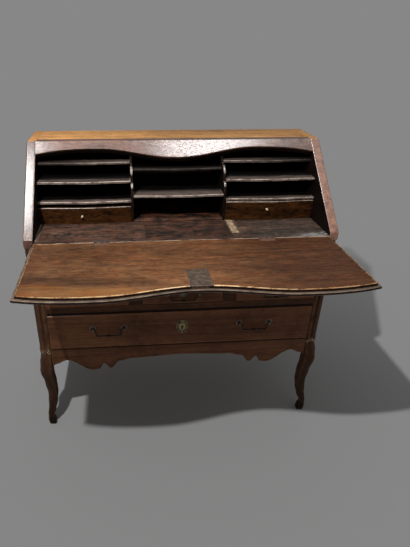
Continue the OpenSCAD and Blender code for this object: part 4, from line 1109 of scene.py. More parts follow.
def make_inside():
    """Dust board, runners, guides and well, seen when the drawers are out."""
    y0, y1 = FACE_BACK, DEPTH - POST
    s = Shape(31)
    for k in range(3):
        a, b = y0 + (y1 - y0) * k / 3, y0 + (y1 - y0) * (k + 1) / 3
        s.board(-POST_IN + 1, POST_IN - 1, a + 0.2, b - 0.2, 518, MIDDLE_RAIL[1], 0.8, axis="x")
    s.dress("dust_board", ["dark_oak"], "oak")

    def runners():
        r = Shape(33)
        wall = PANEL_IN - 0.1
        r.board(POST_IN - 24, wall, POST, y1, 340, 361.7, 1)
        r.board(POST_IN - 24, POST_IN - 0.1, y0, POST - 0.1, 340, 361.7, 1, axis="y")
        r.board(POST_IN - 1.5, wall, POST, y1, 361.8, 384, 1)
        r.board(UPRIGHT[0] + 0.3, UPRIGHT[1] - 0.3, y0, y1, 530.1, 560, 1)
        r.board(POST_IN + 0.5, wall, POST, y1, 518, 560, 1)
        return r
    for side, r in both_hands(runners):
        r.piece(side + "_runners_finish", "desk_case", ["dark_oak"],
                ["drawer_runners"] if side == "left" else (), "oak")
    x0, x1, low = *LOPER_SLOT, LOPER_LOW

    def guides():
        r = Shape(34)
        r.board(x0 - 12, x0, y0, y1, low, FLOOR, 1)
        r.board(x1, x1 + 12, y0, y1, low, FLOOR, 1)
        r.board(x0 - 12, x1 + 12, y0, y1, low - 14, low - 0.1, 1)
        r.turned([(0, 0), (2.6, 0), (3, 0.4), (3, 16.6), (2.6, 17), (0, 17)], (x0 - 12, 80, FALL_LOW - 30),
                 "x", wear=[0, 0, 1, 0, 0, 0])
        return r
    for side, r in both_hands(guides):
        r.piece(side + "_loper_guide_finish", "desk_case", ["dark_oak"],
                ["loper_guides"] if side == "left" else (), "oak")
    s = Shape(35)
    x0, x1, y0, y1 = WELL_BOX
    for x in (x0, x1 - 10):
        s.board(x, x + 10, y0, y1, WELL_LOW, FLOOR, 0.8)
    for y in (y0, y1 - 10):
        s.board(x0 + 10.1, x1 - 10.1, y, y + 10, WELL_LOW, FLOOR, 0.8)
    s.board(x0 + 10.1, x1 - 10.1, y0 + 10.1, y1 - 10.1, WELL_LOW, WELL_LOW + 8, 0.8)
    s.dress("well_box", ["oak"], "oak")


def make_back():
    s = Shape(41)
    nails = []
    face = BACK_Y + 10
    for x, z0, z1, n in ((POST_IN + 8, LEG + 5, FLOOR, 5), (INNER + 8, FLOOR, TOP_IN, 3)):
        h = (z1 - z0) / n
        for k in range(n):
            s.board(-x, x, BACK_Y, face, z0 + k * h + 0.2, z0 + (k + 1) * h - 0.5, 1.0, axis="x")
            nails += [(a * (x - 14), face, z0 + (k + t) * h) for a in (-1, 1) for t in (0.25, 0.75)]
            nails += [(a, face, z0 + (k + 0.5) * h) for a in (-x / 3, x / 3)]
    s.dress("back_boards", ["dark_oak"], "oak")
    seat_piece(heads_on([(p, (0, 1, 0)) for p in nails], 2.8, 0.9, 8, "iron"), "back_board_nails",
               "desk_case", ())


def make_pegs():
    spots = []
    for side in (-1, 1):
        for z in (320, 340, 516, 635, 680, 724):
            spots.append(((side * (POST_IN + 6), 0, z), (0, -1, 0)))
        for z in (355, 540, 724):
            spots.append(((side * HALF, DEPTH - POST + 6, z), (side, 0, 0)))
    seat_piece(heads_on(spots, 3.0, 0.4, 12, "peg"), "joint_peg_heads", "desk_case", ["joint_pegs"])


# Repeated heads and beads, made with geometry nodes

def node_tree(name, inputs):
    """A geometry tree with named inputs: (tree, net, its input sockets, their identifiers)."""
    tree = bpy.data.node_groups.new(name, "GeometryNodeTree")
    tree.interface.new_socket("Geometry", in_out="INPUT", socket_type="NodeSocketGeometry")
    ids = {}
    for key, kind in inputs:
        ids[key] = tree.interface.new_socket(key, in_out="INPUT", socket_type=kind).identifier
    tree.interface.new_socket("Geometry", in_out="OUTPUT", socket_type="NodeSocketGeometry")
    net = Net(tree)
    return tree, net, net.node("NodeGroupInput").outputs, ids


def send_out(n, made, finish):
    """Makes all instances real, gives them their finish and sends them out of the tree."""
    real = n.node("GeometryNodeRealizeInstances", {0: made.outputs[0]})
    n.show(n.node("GeometryNodeSetMaterial", {"Geometry": real.outputs[0], "Material": finish}),
           "NodeGroupOutput")


def head_tree():
    """A low domed head on every point, square to the direction kept with the point."""
    tree, n, i, ids = node_tree("Heads on points", [
        ("Radius", "NodeSocketFloat"), ("Height", "NodeSocketFloat"), ("Sides", "NodeSocketInt"),
        ("Seed", "NodeSocketInt"), ("Finish", "NodeSocketMaterial")])
    ball = n.node("GeometryNodeMeshUVSphere", {"Segments": i["Sides"], "Rings": 6, "Radius": 1.0})
    squash = n.node("ShaderNodeCombineXYZ", {0: i["Radius"], 1: i["Radius"], 2: i["Height"]})
    head = n.node("GeometryNodeTransform", {"Geometry": ball.outputs[0], "Scale": squash.outputs[0]})
    out = n.node("GeometryNodeInputNamedAttribute", {"Name": "out"}, data_type="FLOAT_VECTOR")
    turn = n.node("FunctionNodeAlignRotationToVector", {"Vector": out.outputs[0]}, axis="Z")
    chance = n.node("FunctionNodeRandomValue", {2: 0.92, 3: 1.05, "Seed": i["Seed"]}, data_type="FLOAT")
    send_out(n, n.node("GeometryNodeInstanceOnPoints", {
        "Points": i["Geometry"], "Instance": head.outputs[0], "Rotation": turn.outputs[0],
        "Scale": chance.outputs[1]}), i["Finish"])
    return tree, ids


def bead_tree():
    """A round bead that follows the edges of the mesh."""
    tree, n, i, ids = node_tree("Bead along edges", [
        ("Radius", "NodeSocketFloat"), ("Sides", "NodeSocketInt"), ("Finish", "NodeSocketMaterial")])
    path = n.node("GeometryNodeMeshToCurve", {0: i["Geometry"]})
    section = n.node("GeometryNodeCurvePrimitiveCircle", {"Resolution": i["Sides"], "Radius": i["Radius"]})
    send_out(n, n.node("GeometryNodeCurveToMesh", {
        "Curve": path.outputs[0], "Profile Curve": section.outputs[0], "Fill Caps": True}), i["Finish"])
    return tree, ids


NODE_TREES = {"heads": head_tree, "bead": bead_tree}
GROWN = {}


def grown(points, edges, which, values, out=None):
    """Runs a node tree over a scratch mesh and returns the plain result, with its grain along x."""
    if which not in GROWN:
        GROWN[which] = NODE_TREES[which]()
    tree, ids = GROWN[which]
    source = bpy.data.meshes.new("source")
    source.from_pydata([place(*p) for p in points], edges, [])
    if out:
        source.attributes.new("out", "FLOAT_VECTOR", "POINT").data.foreach_set(
            "vector", np.array(out, np.float32).ravel())
    obj = bpy.data.objects.new("source", source)
    bpy.context.collection.objects.link(obj)
    mod = obj.modifiers.new("grow", "NODES")
    mod.node_group = tree
    for key, value in values.items():
        mod[ids[key]] = value
    bpy.context.view_layer.update()
    mesh = bpy.data.meshes.new_from_object(obj.evaluated_get(bpy.context.evaluated_depsgraph_get()))
    bpy.data.objects.remove(obj)
    tidy(mesh)
    for extra in [a for a in mesh.attributes if a.name in ("out", "grain", "arris", "tone")]:
        mesh.attributes.remove(extra)
    n = len(mesh.vertices)
    p = np.zeros(n * 3, np.float32)
    mesh.vertices.foreach_get("co", p)
    keep_marks(mesh, p, [0.6] * n, [0.5] * n)
    mesh.polygons.foreach_set("use_smooth", [True] * len(mesh.polygons))
    return mesh


def heads_on(spots, radius, height, sides, finish):
    """Heads of nails, pegs or screws; spots gives each one's place in mm and its outward direction."""
    values = {"Radius": radius * MM, "Height": height * MM, "Sides": sides, "Seed": 7,
              "Finish": FINISH[finish]}
    return grown([p for p, d in spots], [], "heads", values, [d for p, d in spots])


def bead_along(path, radius, finish):
    """A bead along a line of points in mm."""
    return grown(path, [(k, k + 1) for k in range(len(path) - 1)], "bead",
                 {"Radius": radius * MM, "Sides": 10, "Finish": FINISH[finish]})


# Fall

def fall_line(w, add, rear, n=130):
    """Outline of one layer of the fall, lying open."""
    xs = [w * (2 * k / n - 1) for k in range(n + 1)]
    return [(x, -(reach(x) + add)) for x in xs] + [(w, rear), (-w, rear)]


def box_shape(x0, x1, y0, y1, z0, z1):
    """A plain block, for cutting with."""
    s = Shape()
    s.rows([[(x0, y0, z), (x1, y0, z), (x1, y1, z), (x0, y1, z)] for z in (z0, z1)])
    return s


def rod_shape(r, centre, axis, length):
    """A plain rod, for cutting with."""
    s = Shape()
    s.turned([(r, 0), (r, length)], centre, axis, sides=32)
    return s


LOCK_Y0 = 104.4 - REACH_MID
KEY_X = -2
KEY_Y = 53.4 - REACH_MID
LOCK_FRONT = -REACH_MID + 1.5
PLATE = (-28, 36)


def part_of_fall(p, normal):
    """The rebate's wall is near black with dirt and painted shade, the lip rubbed pale with a painted grey
    sheen, and the outside polished like the slope.
    """
    up = p[2] - FALL_LOW
    if normal.z < -0.6:
        return 3
    if p[1] > -25 or up > 16.35:
        return 0
    return 2 if 8.3 < up < 9.6 and normal.z > 0.2 else 1


def hinge_cuts(y0, y1):
    """Housings of the hinge leaves and knuckles."""
    cuts = []
    for x in (-HINGE_X, HINGE_X):
        cuts.append(box_shape(x - 25.1, x + 25.1, y0, y1, WRITING - 1.7, WRITING + 5))
        cuts.append(rod_shape(3.1, (x - 25.5, 0, WRITING), "x", 51))
    return cuts


def make_fall():
    lip, top = fall_line(INNER + 8.5, 8.5, -1), fall_line(INNER - 1.5, -1.5, -0.4)
    rows = [(lip, 9, 0, 0), (lip, 5.2, 0, 0.3)]
    bends = [(math.pi / 2 * k / 6, 0.3 + 0.1 * k) for k in range(1, 7)]
    rows += [(lip, 5.2 - 5.2 * math.sin(a), 5.2 - 5.2 * math.cos(a), w) for a, w in bends]
    rows += [(lip, 0, 8.4, 0.3), (lip, 0.3, 9.0, 1), (lip, 0.9, 9.2, 0.6), (top, -1.2, 9.2, 0),
             (top, 0, 9.3, 0), (top, 0, 16.4, 0.4), (top, 0.35, 17.1, 1), (top, 1.1, 17.5, 1),
             (top, 3.2, 17.5, 1), (top, 4.6, 17.5, 0)]
    s = Shape(51)
    s.rows([[(x, y, FALL_LOW + h) for x, y in offset(line, d)] for line, d, h, w in rows],
           [w for line, d, h, w in rows], axis="x", tone=0.5)
    cuts = [box_shape(PLATE[0] - 0.1, PLATE[1] + 0.1, -320, LOCK_Y0 + 0.1, WRITING - 1.6, WRITING + 5),
            box_shape(-14.3, 14.3, LOCK_FRONT - 14, LOCK_FRONT + 50, WRITING - 7.1, WRITING - 2.1),
            rod_shape(3.5, (KEY_X, KEY_Y, FALL_LOW - 5), "z", 30), *hinge_cuts(-24.1, 3)]
    s.dress("fall_board", ["fall", "rebate", "lip", "slope"], "fall_walnut", "fall", cuts=cuts,
            zones=part_of_fall)


def keyhole_edge(a, r):
    """Distance from a keyhole's middle to its edge, at angle a."""
    c, d = abs(math.cos(a)), math.sin(a)
    if d < 0:
        return max(r, min(0.55 * r / max(c, 1e-6), -2.6 * r / min(d, -1e-6)))
    return r


def pierced(shape, outer, r, turn, profile, **kw):
    """A plate round a keyhole. profile gives (share from the hole to the rim, height, wear)."""
    n = 72
    rows, wear = [], []
    for share, h, w in profile:
        row = []
        for k in range(n):
            a = 2 * math.pi * k / n + 0.01
            inner, rim = keyhole_edge(a, r), outer(a)
            d = inner + (rim - inner) * share
            row.append(turn(d * math.cos(a), d * math.sin(a), h))
        rows.append(row)
        wear += [w] * n
    faces = []
    for k in range(len(rows)):
        m = (k + 1) % len(rows)
        faces += [(k * n + i, k * n + (i + 1) % n, m * n + (i + 1) % n, m * n + i) for i in range(n)]
    shape.add([p for row in rows for p in row], faces, wear, **kw)


def shield_edge(w, h):
    """Rim of a lobed shield, as a distance at angle a."""
    def rim(a):
        k = (1 + 0.09 * math.cos(6 * a)) / 1.09
        return k / math.hypot(math.cos(a) / (w / 2), math.sin(a) / (h / 2))
    return rim


DOME = [(0, 0, 0), (0, 1.2, 1), (0.06, 1.9, 1), (0.3, 2.0, 0.7), (0.62, 1.7, 0.3), (0.8, 1.3, 0.1),
        (0.84, 1.0, 0), (0.9, 1.3, 1), (0.97, 1.1, 0.9), (1, 0.6, 0.8), (1, 0, 0)]


def dome(share):
    """Section of a shield's dome, made lower."""
    return [(p, h * share, w) for p, h, w in DOME]


def make_fall_lock():
    x0, x1 = PLATE
    s = Shape(53)
    s.plate([(x0, LOCK_FRONT + 0.4), (x1, LOCK_FRONT + 0.4), (x1, LOCK_Y0 - 3), (x1 - 3, LOCK_Y0),
             (x0 + 3, LOCK_Y0), (x0, LOCK_Y0 - 3)], WRITING - 1.7, WRITING + 0.1, low=eased(0.3, 1),
            high=eased(0.5, 2), corner=1.2, axis="y")
    s.board(x0 + 6, x1 - 6, LOCK_FRONT + 1.5, LOCK_Y0 - 10, WRITING - 9, WRITING - 2.4, 0.4)
    s.board(x0, x1, LOCK_FRONT - 0.8, LOCK_FRONT + 0.3, WRITING - 8.2, WRITING - 0.1, 0.3)
    s.turned([(4.2, 0), (4.2, 0.9), (3.7, 1.4), (2.4, 1.4), (2.2, 0.9), (0.1, 0.8)], (KEY_X, KEY_Y, WRITING),
             "z", wear=[0.4, 1, 1, 1, 0.4, 0])
    s.board(-13, 9, KEY_Y + 14, KEY_Y + 17, WRITING - 0.4, WRITING + 0.5, 0.3)
    s.dress("fall_lock", ["iron"], "iron", "fall")
    nails = [((x, y, WRITING + 0.1), (0, 0, 1)) for x, y in (
        (x0 + 4, LOCK_Y0 - 5), (x1 - 4, LOCK_Y0 - 5), (x0 + 4, LOCK_FRONT + 8), (x1 - 4, LOCK_FRONT + 8),
        (4, LOCK_Y0 - 4))]
    seat_piece(heads_on(nails, 1.9, 0.7, 10, "iron"), "fall_lock_nails", "fall", ())
    s = Shape(54)
    pierced(s, shield_edge(34, 52), 2.6, lambda a, b, h: (KEY_X + a, KEY_Y + b, FALL_LOW - h), dome(0.75))
    s.dress("fall_escutcheon", ["brass"], "brass", "fall")


# Writing floor

def make_floor():
    s = Shape(61)
    s.board(-INNER, INNER, 0.05, WELL_Y0 - 0.1, FLOOR, WRITING, 0.6, tone=0.45)
    s.piece("floor_front_board", "desk_case", ["floor"], (), "inner_walnut", cuts=hinge_cuts(-3, 24.5))
    y1 = WELL_Y0 + COVER_L + 154
    lo, hi = WRITING - 12.3, WRITING - 6.7

    def grooved(edge, far, a, b, **kw):
        deep = edge - 6.6 if edge > far else edge + 6.6
        s.plate([(far, FLOOR), (edge, FLOOR), (edge, lo), (deep, lo), (deep, hi), (edge, hi), (edge, WRITING),
                 (far, WRITING)], a, b, "xz", low=eased(0.4, 1), high=eased(0.4, 1), corner=0.7, **kw)
    s = Shape(62)
    left, right, mid = -474, WELL_X1 + 35, 102.0
    grooved(WELL_X0, left, WELL_Y0, mid - 0.2, axis="x", tone=0.55)
    grooved(WELL_X0, left, mid + 0.2, y1, axis="x", tone=0.3)
    grooved(WELL_X1, right, 55.2, y1, axis="y", slot=1, tone=0.6)
    grooved(WELL_X1, right, WELL_Y0, 54.8, axis="x", tone=0.4)
    s.board(right + 0.3, INNER, WELL_Y0, 78.8, FLOOR, WRITING, 0.5, tone=0.6)
    s.board(right + 0.3, INNER, 79.2, y1, FLOOR, WRITING, 0.5, tone=0.75)
    s.board(-INNER, left - 0.3, WELL_Y0, y1, FLOOR, WRITING, 0.6, slot=1, tone=0.35, axis="y")
    s.board(-INNER, INNER, y1 + 0.2, BACK_Y, FLOOR, WRITING, 0.5, tone=0.5)
    s.dress("writing_floor", ["floor", "strip"], "inner_walnut")


def make_cover():
    top, low, x0, x1 = WRITING - 0.4, WRITING - 12, WELL_X0 + 0.5, WELL_X1 - 0.5
    tongue = WRITING - 7
    s = Shape(64)
    s.plate([(x0 - 6, low), (x1 + 6, low), (x1 + 6, tongue), (x1, tongue), (x1, top), (x0, top), (x0, tongue),
             (x0 - 6, tongue)], WELL_Y0 + 0.5, WELL_Y0 + COVER_L, "xz", low=eased(0.9, 2), high=eased(0.6, 2),
            corner=0.8, axis="x", tone=0.35)
    s.dress("well_cover", ["cover"], "inner_walnut", "well_cover")


# Gallery

def shelf_z(up, share):
    """Height of a shelf that lies up above the floor, or a share of the way from there to the top."""
    return WRITING + up + (TOP_IN - WRITING - up) * share


def shelf_y(z):
    """How far back a shelf starts, along the slant."""
    return (z - WRITING) / TA + SHELF_BACK


SIDE_LEVELS = [(shelf_z(70, 0), GALLERY_Y + 2)]
SIDE_LEVELS += [(shelf_z(70, k), shelf_y(shelf_z(70, k))) for k in (0.384, 0.69)]
CENTRE_LEVELS = [(shelf_z(85, 0), GALLERY_Y + 7), (shelf_z(85, 0.52), shelf_y(shelf_z(85, 0.52)) + 7)]


def bay_line(x0, x1, y):
    """The bowed front line of a shelf or drawer between x0 and x1."""
    return [(x, y - 8 * math.sin(math.pi * (x - x0) / (x1 - x0)) ** 2) for x in np.linspace(x0, x1, 41)]


def make_gallery():
    low_z = SIDE_LEVELS[0][0]
    (mz, my), (hz, hy) = SIDE_LEVELS[1:]
    rear, edge = BACK_Y - 0.2, DIVIDER_X + 4

    def lobe(y0, z0, y1, z1):
        return [(y0 + (y1 - y0) * (1 - math.cos(a)), z0 + (z1 - z0) * math.sin(a))
                for a in np.linspace(0, math.pi / 2, 14)]
    top_s = REACH_LOBE + 6
    outline = [(BACK_Y, WRITING), (GALLERY_Y + 1, WRITING), (GALLERY_Y + 1, low_z - 4),
               (GALLERY_Y + 1, low_z + 9), *lobe(GALLERY_Y + 2, low_z + 10, my + 5, mz - 2),
               *lobe(my + 8, mz + 11, hy - 2, hz),
               (top_s * CA + 12.3 * SA, WRITING + top_s * SA - 12.3 * CA),
               ((TOP_IN - WRITING + 12.3 / CA) / TA, TOP_IN), (BACK_Y, TOP_IN)]
    s = Shape(71)
    for x in (-DIVIDER_X, DIVIDER_X):
        s.plate(outline, x - 4, x + 4, "yz", low=eased(2.2, 4), high=eased(2.2, 4), corner=1.5, axis="z")

    # Dividers take painted shade; their up-facing front lobes take the pale edge finish as painted highlights
    def lit_front_lobes(p, normal):
        return int(normal.y < -0.25 and normal.z > 0.5 and low_z + 12 < p[2] < hz + 6)
    s.dress("gallery_dividers", ["inside", "edge"], "inner_walnut", zones=lit_front_lobes)

    def shelf(shape, x0, x1, y, z):
        shape.plate([*bay_line(x0, x1, y), (x1, rear), (x0, rear)], z, z + 8, low=eased(2.4, 4),
                    high=eased(2.4, 4), corner=0.5, axis="x")

    def side():
        r = Shape(72)
        for z, y in SIDE_LEVELS:
            shelf(r, edge + 0.1, INNER - 0.1, y, z)
        return r
    for name, r in both_hands(side):
        r.dress(name + "_shelves", ["inner"], "inner_walnut")
    s = Shape(73)
    x0, x1 = -edge + 8.1, edge - 8.1
    for z, y in CENTRE_LEVELS:
        shelf(s, x0, x1, y, z)
    s.board(x0, x1, GALLERY_Y + 2, rear, WRITING, WRITING + 5, 1.2, axis="x", slot=1)
    s.dress("centre_shelves", ["inner", "floor"], "inner_walnut")


KNOB = [(0, 0), (0.8, 0.1), (1.2, 0.8), (2.3, 1.4), (3.4, 2.8), (3.9, 4.8), (4.0, 6.4), (3.6, 8.6),
        (2.8, 10.2), (2.3, 11), (2.3, 11.4), (3.3, 11.7), (3.9, 12.3), (3.9, 13), (2.5, 13.1), (2.5, 32),
        (0, 32)]


def make_inner_drawers():
    y1, yb = BACK_Y - 30, GALLERY_Y + 12
    for side, sign, h, up in (("left", -1, 58, 29), ("right", 1, 67, 40.2)):
        x0, x1 = sorted((sign * (DIVIDER_X + 5), sign * (INNER - 1)))
        z0, z1 = WRITING + 0.6, WRITING + h
        name = side + "_inner_drawer"
        s = Shape(75 + sign)
        s.plate([*bay_line(x0, x1, GALLERY_Y), (x1, yb), (x0, yb)], z0, z1, low=eased(1.2, 2),
                high=eased(1.8, 3), corner=0.8, axis="x")
        for x in (x0, x1 - 7):
            s.board(x, x + 7, yb + 0.1, y1, z0, z1 - 6, 0.8, slot=1)
        s.board(x0 + 7.1, x1 - 7.1, y1 - 7, y1, z0, z1 - 6, 0.8, slot=1)
        s.board(x0 + 7.1, x1 - 7.1, yb + 0.1, y1 - 7.1, z0, z0 + 5, 0.8, slot=1)
        for x in (x0 - 0.05, x1 - 1.15):
            for z in (z0 + 6, z0 + 25):
                s.plate([(yb - 9, z), (yb + 0.05, z + 3), (yb + 0.05, z + 12), (yb - 9, z + 15)], x, x + 1.2,
                        "yz", low=eased(0.1, 1), high=eased(0.1, 1), corner=0.2, slot=1, axis="y")

        # Top front arris takes the pale edge finish: wear and a painted highlight
        def worn_and_lit_arris(p, normal):
            return 2 if p[2] > z1 - 2 and p[1] < GALLERY_Y + 1.5 and normal.y < -0.2 else None
        s.dress(name, ["drawer", "oak", "edge"], "walnut", name, zones=worn_and_lit_arris)
        s = Shape(77 + sign)
        s.turned(KNOB, (sign * (DIVIDER_X + 4 + INNER) / 2 - 12, GALLERY_Y - 21, WRITING + up), "y", sides=28)
        s.dress(side + "_inner_knob", ["bone"], "bone", name)


# Lopers

LOPER_PULL = [(0, 0), (2, 0.15), (4.6, 1.3), (6.6, 4), (7, 7), (6.4, 10), (4.2, 12.6), (3.4, 13.8), (3.5, 15),
              (4.8, 15.6), (5.4, 16.4), (5.4, 17.1), (0, 17.2)]


def make_lopers():
    end, top = FACE - LOPER_OUT, FALL_LOW - 0.3
    for side, sign in (("left", -1), ("right", 1)):
        x = sign * LOPER_X
        inside = x - sign * 11
        name = side + "_loper"
        s = Shape(81 + sign)
        s.board(x - 11, x + 11, end + 18.1, end + 400, top - 60, top, 1.0)
        cut = box_shape(inside - 5, inside + 5, end + 73, 84.5, FALL_LOW - 34, FALL_LOW - 26)
        s.piece(name + "_rail", name, ["dark_oak"], (), "oak", cuts=[cut])
        s = Shape(84 + sign)
        s.board(x - 11, x + 11, end, end + 18, top - 60, top, 1.2, axis="z")
        s.turned(LOPER_PULL, (x, end - 17, top - 30), "y",
                 wear=[1, 1, 1, 1, 0.8, 0.4, 0, 0, 0, 0.4, 0.8, 0.2, 0], slot=1)
        s.dress(name, ["walnut", "dark_brass"], "walnut", name)


# Drawers of the front

def drawer_boards(s, x0, x1, y0, y1, z0, z1, t):
    """Two sides, a back and a bottom let into grooves, all with the grain of their own board."""
    for u, way in ((x0, 1), (x1, -1)):
        inner, deep = u + way * t, u + way * (t - 5)
        s.plate([(u, z0), (inner, z0), (inner, z0 + 6), (deep, z0 + 6), (deep, z0 + 14), (inner, z0 + 14),
                 (inner, z1), (u, z1)], y0, y1, "xz", low=eased(0.5, 1), high=eased(0.5, 1), corner=0.8,
                 axis="y")
    s.board(x0 + t + 0.1, x1 - t - 0.1, y1 - t, y1, z0 + 14.1, z1, 0.8, axis="x")
    n = max(2, round((y1 - y0) / 150))
    for k in range(n):
        a, b = y0 + 0.1 + (y1 - y0 - 0.1) * k / n, y0 + 0.1 + (y1 - y0 - 0.1) * (k + 1) / n
        s.board(x0 + t - 4.9, x1 - t + 4.9, a + 0.15, b - 0.15, z0 + 6.1, z0 + 13.9, 0.6, axis="x")


def make_tails(seed, body, x0, x1, y, z0, z1, n):
    """Ends of the sides, lapped into the drawer's front."""
    s = Shape(seed)
    h = (z1 - z0) / n
    for x in (x0 - 0.12, x1 - 1.1):
        for k in range(n):
            a, b = z0 + k * h + h * 0.14, z0 + (k + 1) * h - h * 0.14
            s.plate([(y - 15, a), (y + 0.02, a + h * 0.12), (y + 0.02, b - h * 0.12), (y - 15, b)], x,
                    x + 1.22, "yz", low=eased(0.1, 1), high=eased(0.1, 1), corner=0.2, axis="y")
    s.piece(body + "_tails", body, ["oak"], (), "oak")


ROSE = ((11.4, 0, 0), (12, 0.4, 0.7), (12, 1.1, 1), (11.3, 1.8, 1), (10.1, 2.1, 1), (9, 1.7, 1),
        (7.8, 0.9, 0), (6.2, 0.8, 0), (4.6, 1.1, 0), (3.4, 2.2, 0), (3, 4.6, 0.2), (3, 9.5, 0.3))
EYE_OUT = 11.5


def handle_posts(s, cx, cz, y):
    """Two roses with their shanks and eyes."""
    turns = [2 * math.pi * k / 48 for k in range(48)]
    for x in (cx - HANDLE_W / 2, cx + HANDLE_W / 2):
        rows = []
        for r, h, w in ROSE:
            rim = [r * (1 - (0.04 if r > 8 else 0) * (1 - math.cos(8 * a))) for a in turns]
            rows.append([(x + d * math.cos(a), y - h, cz + d * math.sin(a)) for a, d in zip(turns, rim)])
        s.rows(rows, [w for r, h, w in ROSE], axis="y")
        s.turned([(2, 0), (4, 0.3), (4.6, 1.2), (4.4, 2.4), (4.6, 4), (4.4, 5.6), (4.6, 6.8), (4, 7.7),
                  (2, 8)], (x - 4, y - EYE_OUT, cz), "x", sides=24, wear=[0, 0.6, 1, 0.3, 1, 0.3, 1, 0.6, 0])
        s.turned([(3, 0), (3, 22.1)], (x, y + 0.1, cz), "y", sides=16)
        s.turned([(6.5, 0), (6.5, 2.6), (5.4, 3.9), (0, 4)], (x, y + 22.1, cz), "y", sides=6,
                 wear=[0, 0.6, 0.8, 0])


def smooth_line(knots, steps=5):
    """A smooth line through the knots."""
    line = []
    for k in range(len(knots) - 1):
        p0, p1, p2, p3 = knots[max(k - 1, 0)], knots[k], knots[k + 1], knots[min(k + 2, len(knots) - 1)]
        for t in [j / steps for j in range(steps)]:
            line.append(0.5 * ((2 * p1) + (p2 - p0) * t + (2 * p0 - 5 * p1 + 4 * p2 - p3) * t * t
                               + (3 * p1 - p0 - 3 * p2 + p3) * t ** 3))
    return line + [knots[-1]]


ARM = HANDLE_W / 2 - 8.2
BAIL_LINE = [(ARM, 0), (ARM - 0.4, -5), (ARM - 1.5, -10), (ARM - 2.8, -15), (ARM - 3.9, -19.4),
             (ARM - 5.2, -22.6), (ARM - 7.6, -24.3), (ARM - 11, -24.6), (ARM - 18, -24.5),
             (ARM - 28, -24.6), (6, -24.9)]
BULB = [(2.2, 9), (3, 8.6), (3.1, 8), (2.5, 7.4), (2.4, 6.6), (3.1, 5.2), (3.9, 2.8), (4.2, 0)]
PIN = [(2.2, 0), (2.7, 0.5), (2.7, 1.6), (1.6, 2.4), (1.6, 14.5), (2.0, 14.8), (2.6, 15.8), (2.5, 17),
       (1.6, 18.2), (0, 18.8)]


def bail_shape(cx, cz, y):
    """A drop handle with a bulb, hanging from its two pins."""
    s = Shape(90)
    line = smooth_line([Vector((a, 0, b)) for a, b in BAIL_LINE])
    path = [(cx - p.x, y - EYE_OUT, cz + p.z) for p in line]
    path += [(cx + p.x, y - EYE_OUT, cz + p.z) for p in reversed(line)]
    n = len(path)
    s.swept(path, lambda t: 2.1 + 0.65 * math.sin(math.pi * min(t, 1 - t) / 0.5) ** 2, (0, 1, 0), sides=14,
            wear=[0.25 + 0.6 * math.sin(math.pi * k / (n - 1)) for k in range(n)], axis="x")
    s.turned([(r, -h) for r, h in BULB] + BULB[-2::-1], (cx, y - EYE_OUT, cz - 25), "x", sides=24,
             wear=[0.4, 1, 1, 0, 0, 0.5, 0.9, 1, 0.9, 0.5, 0, 0, 1, 1, 0.4])
    for sign in (-1, 1):
        s.turned(PIN, (cx + sign * (ARM - 2.4), y - EYE_OUT, cz), "x", sign, sides=18,
                 wear=[0, 0.7, 0.7, 0, 0, 0.4, 1, 1, 1, 1])
    return s


def raised(shape, x, z, y, rim, height):
    """A domed ornament with the given rim, standing on a face at y."""
    section = ((1, 0, 0), (1, 0.45, 0.5), (0.94, 0.72, 1), (0.8, 0.9, 1), (0.5, 1.0, 0.8), (0.12, 1.02, 0.6))
    turns = [2 * math.pi * k / 40 for k in range(40)]
    rows = [[(x + rim(a) * share * math.cos(a), y - h * height, z + rim(a) * share * math.sin(a))
             for a in turns] for share, h, w in section]
    shape.rows(rows, [w for share, h, w in section], axis="y")


def scroll(shape, x, z, y, r, start, way):
    """A round wire rolled up into a spiral that lies on a face at y."""
    path = []
    for k in range(33):
        t = k / 32
        a = start + way * 2 * math.pi * 1.15 * t
        d = r * (1 - 0.74 * t)
        path.append((x + d * math.cos(a), y, z + d * math.sin(a)))
    shape.swept(path, lambda t: 1.5 - 0.6 * t, (0, 1, 0), sides=8, wear=[0.9] * 33, axis="x", slot=2)


def oval(a, w, h):
    """Distance from an oval's middle to its edge, at angle a."""
    return 1.0 / math.hypot(math.cos(a) / w, math.sin(a) / h)


def ornate_escutcheon(s, y, z):
    """Openwork plate round the keyhole: dark lobed ground, raised heart, crown and scrolls at both sides."""
    def ground(a):
        taper = 1 - 0.16 * max(0.0, -math.sin(a)) * abs(math.cos(a))
        return taper * (1 + 0.085 * math.cos(10 * a + math.pi)) / 1.085 * oval(a, 24, 32)
    pierced(s, ground, 4.5, lambda a, b, h: (a, y - h, z + 2 + b),
            [(0, 0, 0), (0, 0.9, 0), (0.5, 1.0, 0), (0.93, 0.9, 0.2), (1, 0.5, 0.6), (1, 0, 0)], slot=1)
    pierced(s, lambda a: oval(a, 13.5 + 1.5 * math.sin(a), 18), 4.2,
            lambda a, b, h: (a, y - 0.5 - h, z + 2 + b),
            [(0, 0.2, 0), (0, 1.4, 1), (0.2, 2.3, 1), (0.55, 2.9, 0.9), (0.85, 2.3, 0.8), (1, 1.2, 0.4),
             (1, 0.2, 0)])
    raised(s, 0, z + 25.5, y - 0.5,
           lambda a: (1 + 0.14 * math.cos(5 * (a - math.pi / 2))) * oval(a, 8.5, 4.6), 3.0)
    for side in (-1, 1):
        for dx, dz, r, start, way in ((15.5, 13, 5.2, -90, 1), (16, -2.5, 5.6, 90, -1),
                                      (11.5, -17.5, 4.8, 90, -1)):
            a = math.radians(start)
            scroll(s, side * dx, z + dz, y - 1.6, r, a if side > 0 else math.pi - a, side * way)
    raised(s, 0, z - 22, y - 0.5, lambda a: oval(a, 4.2, 5.0), 2.2)


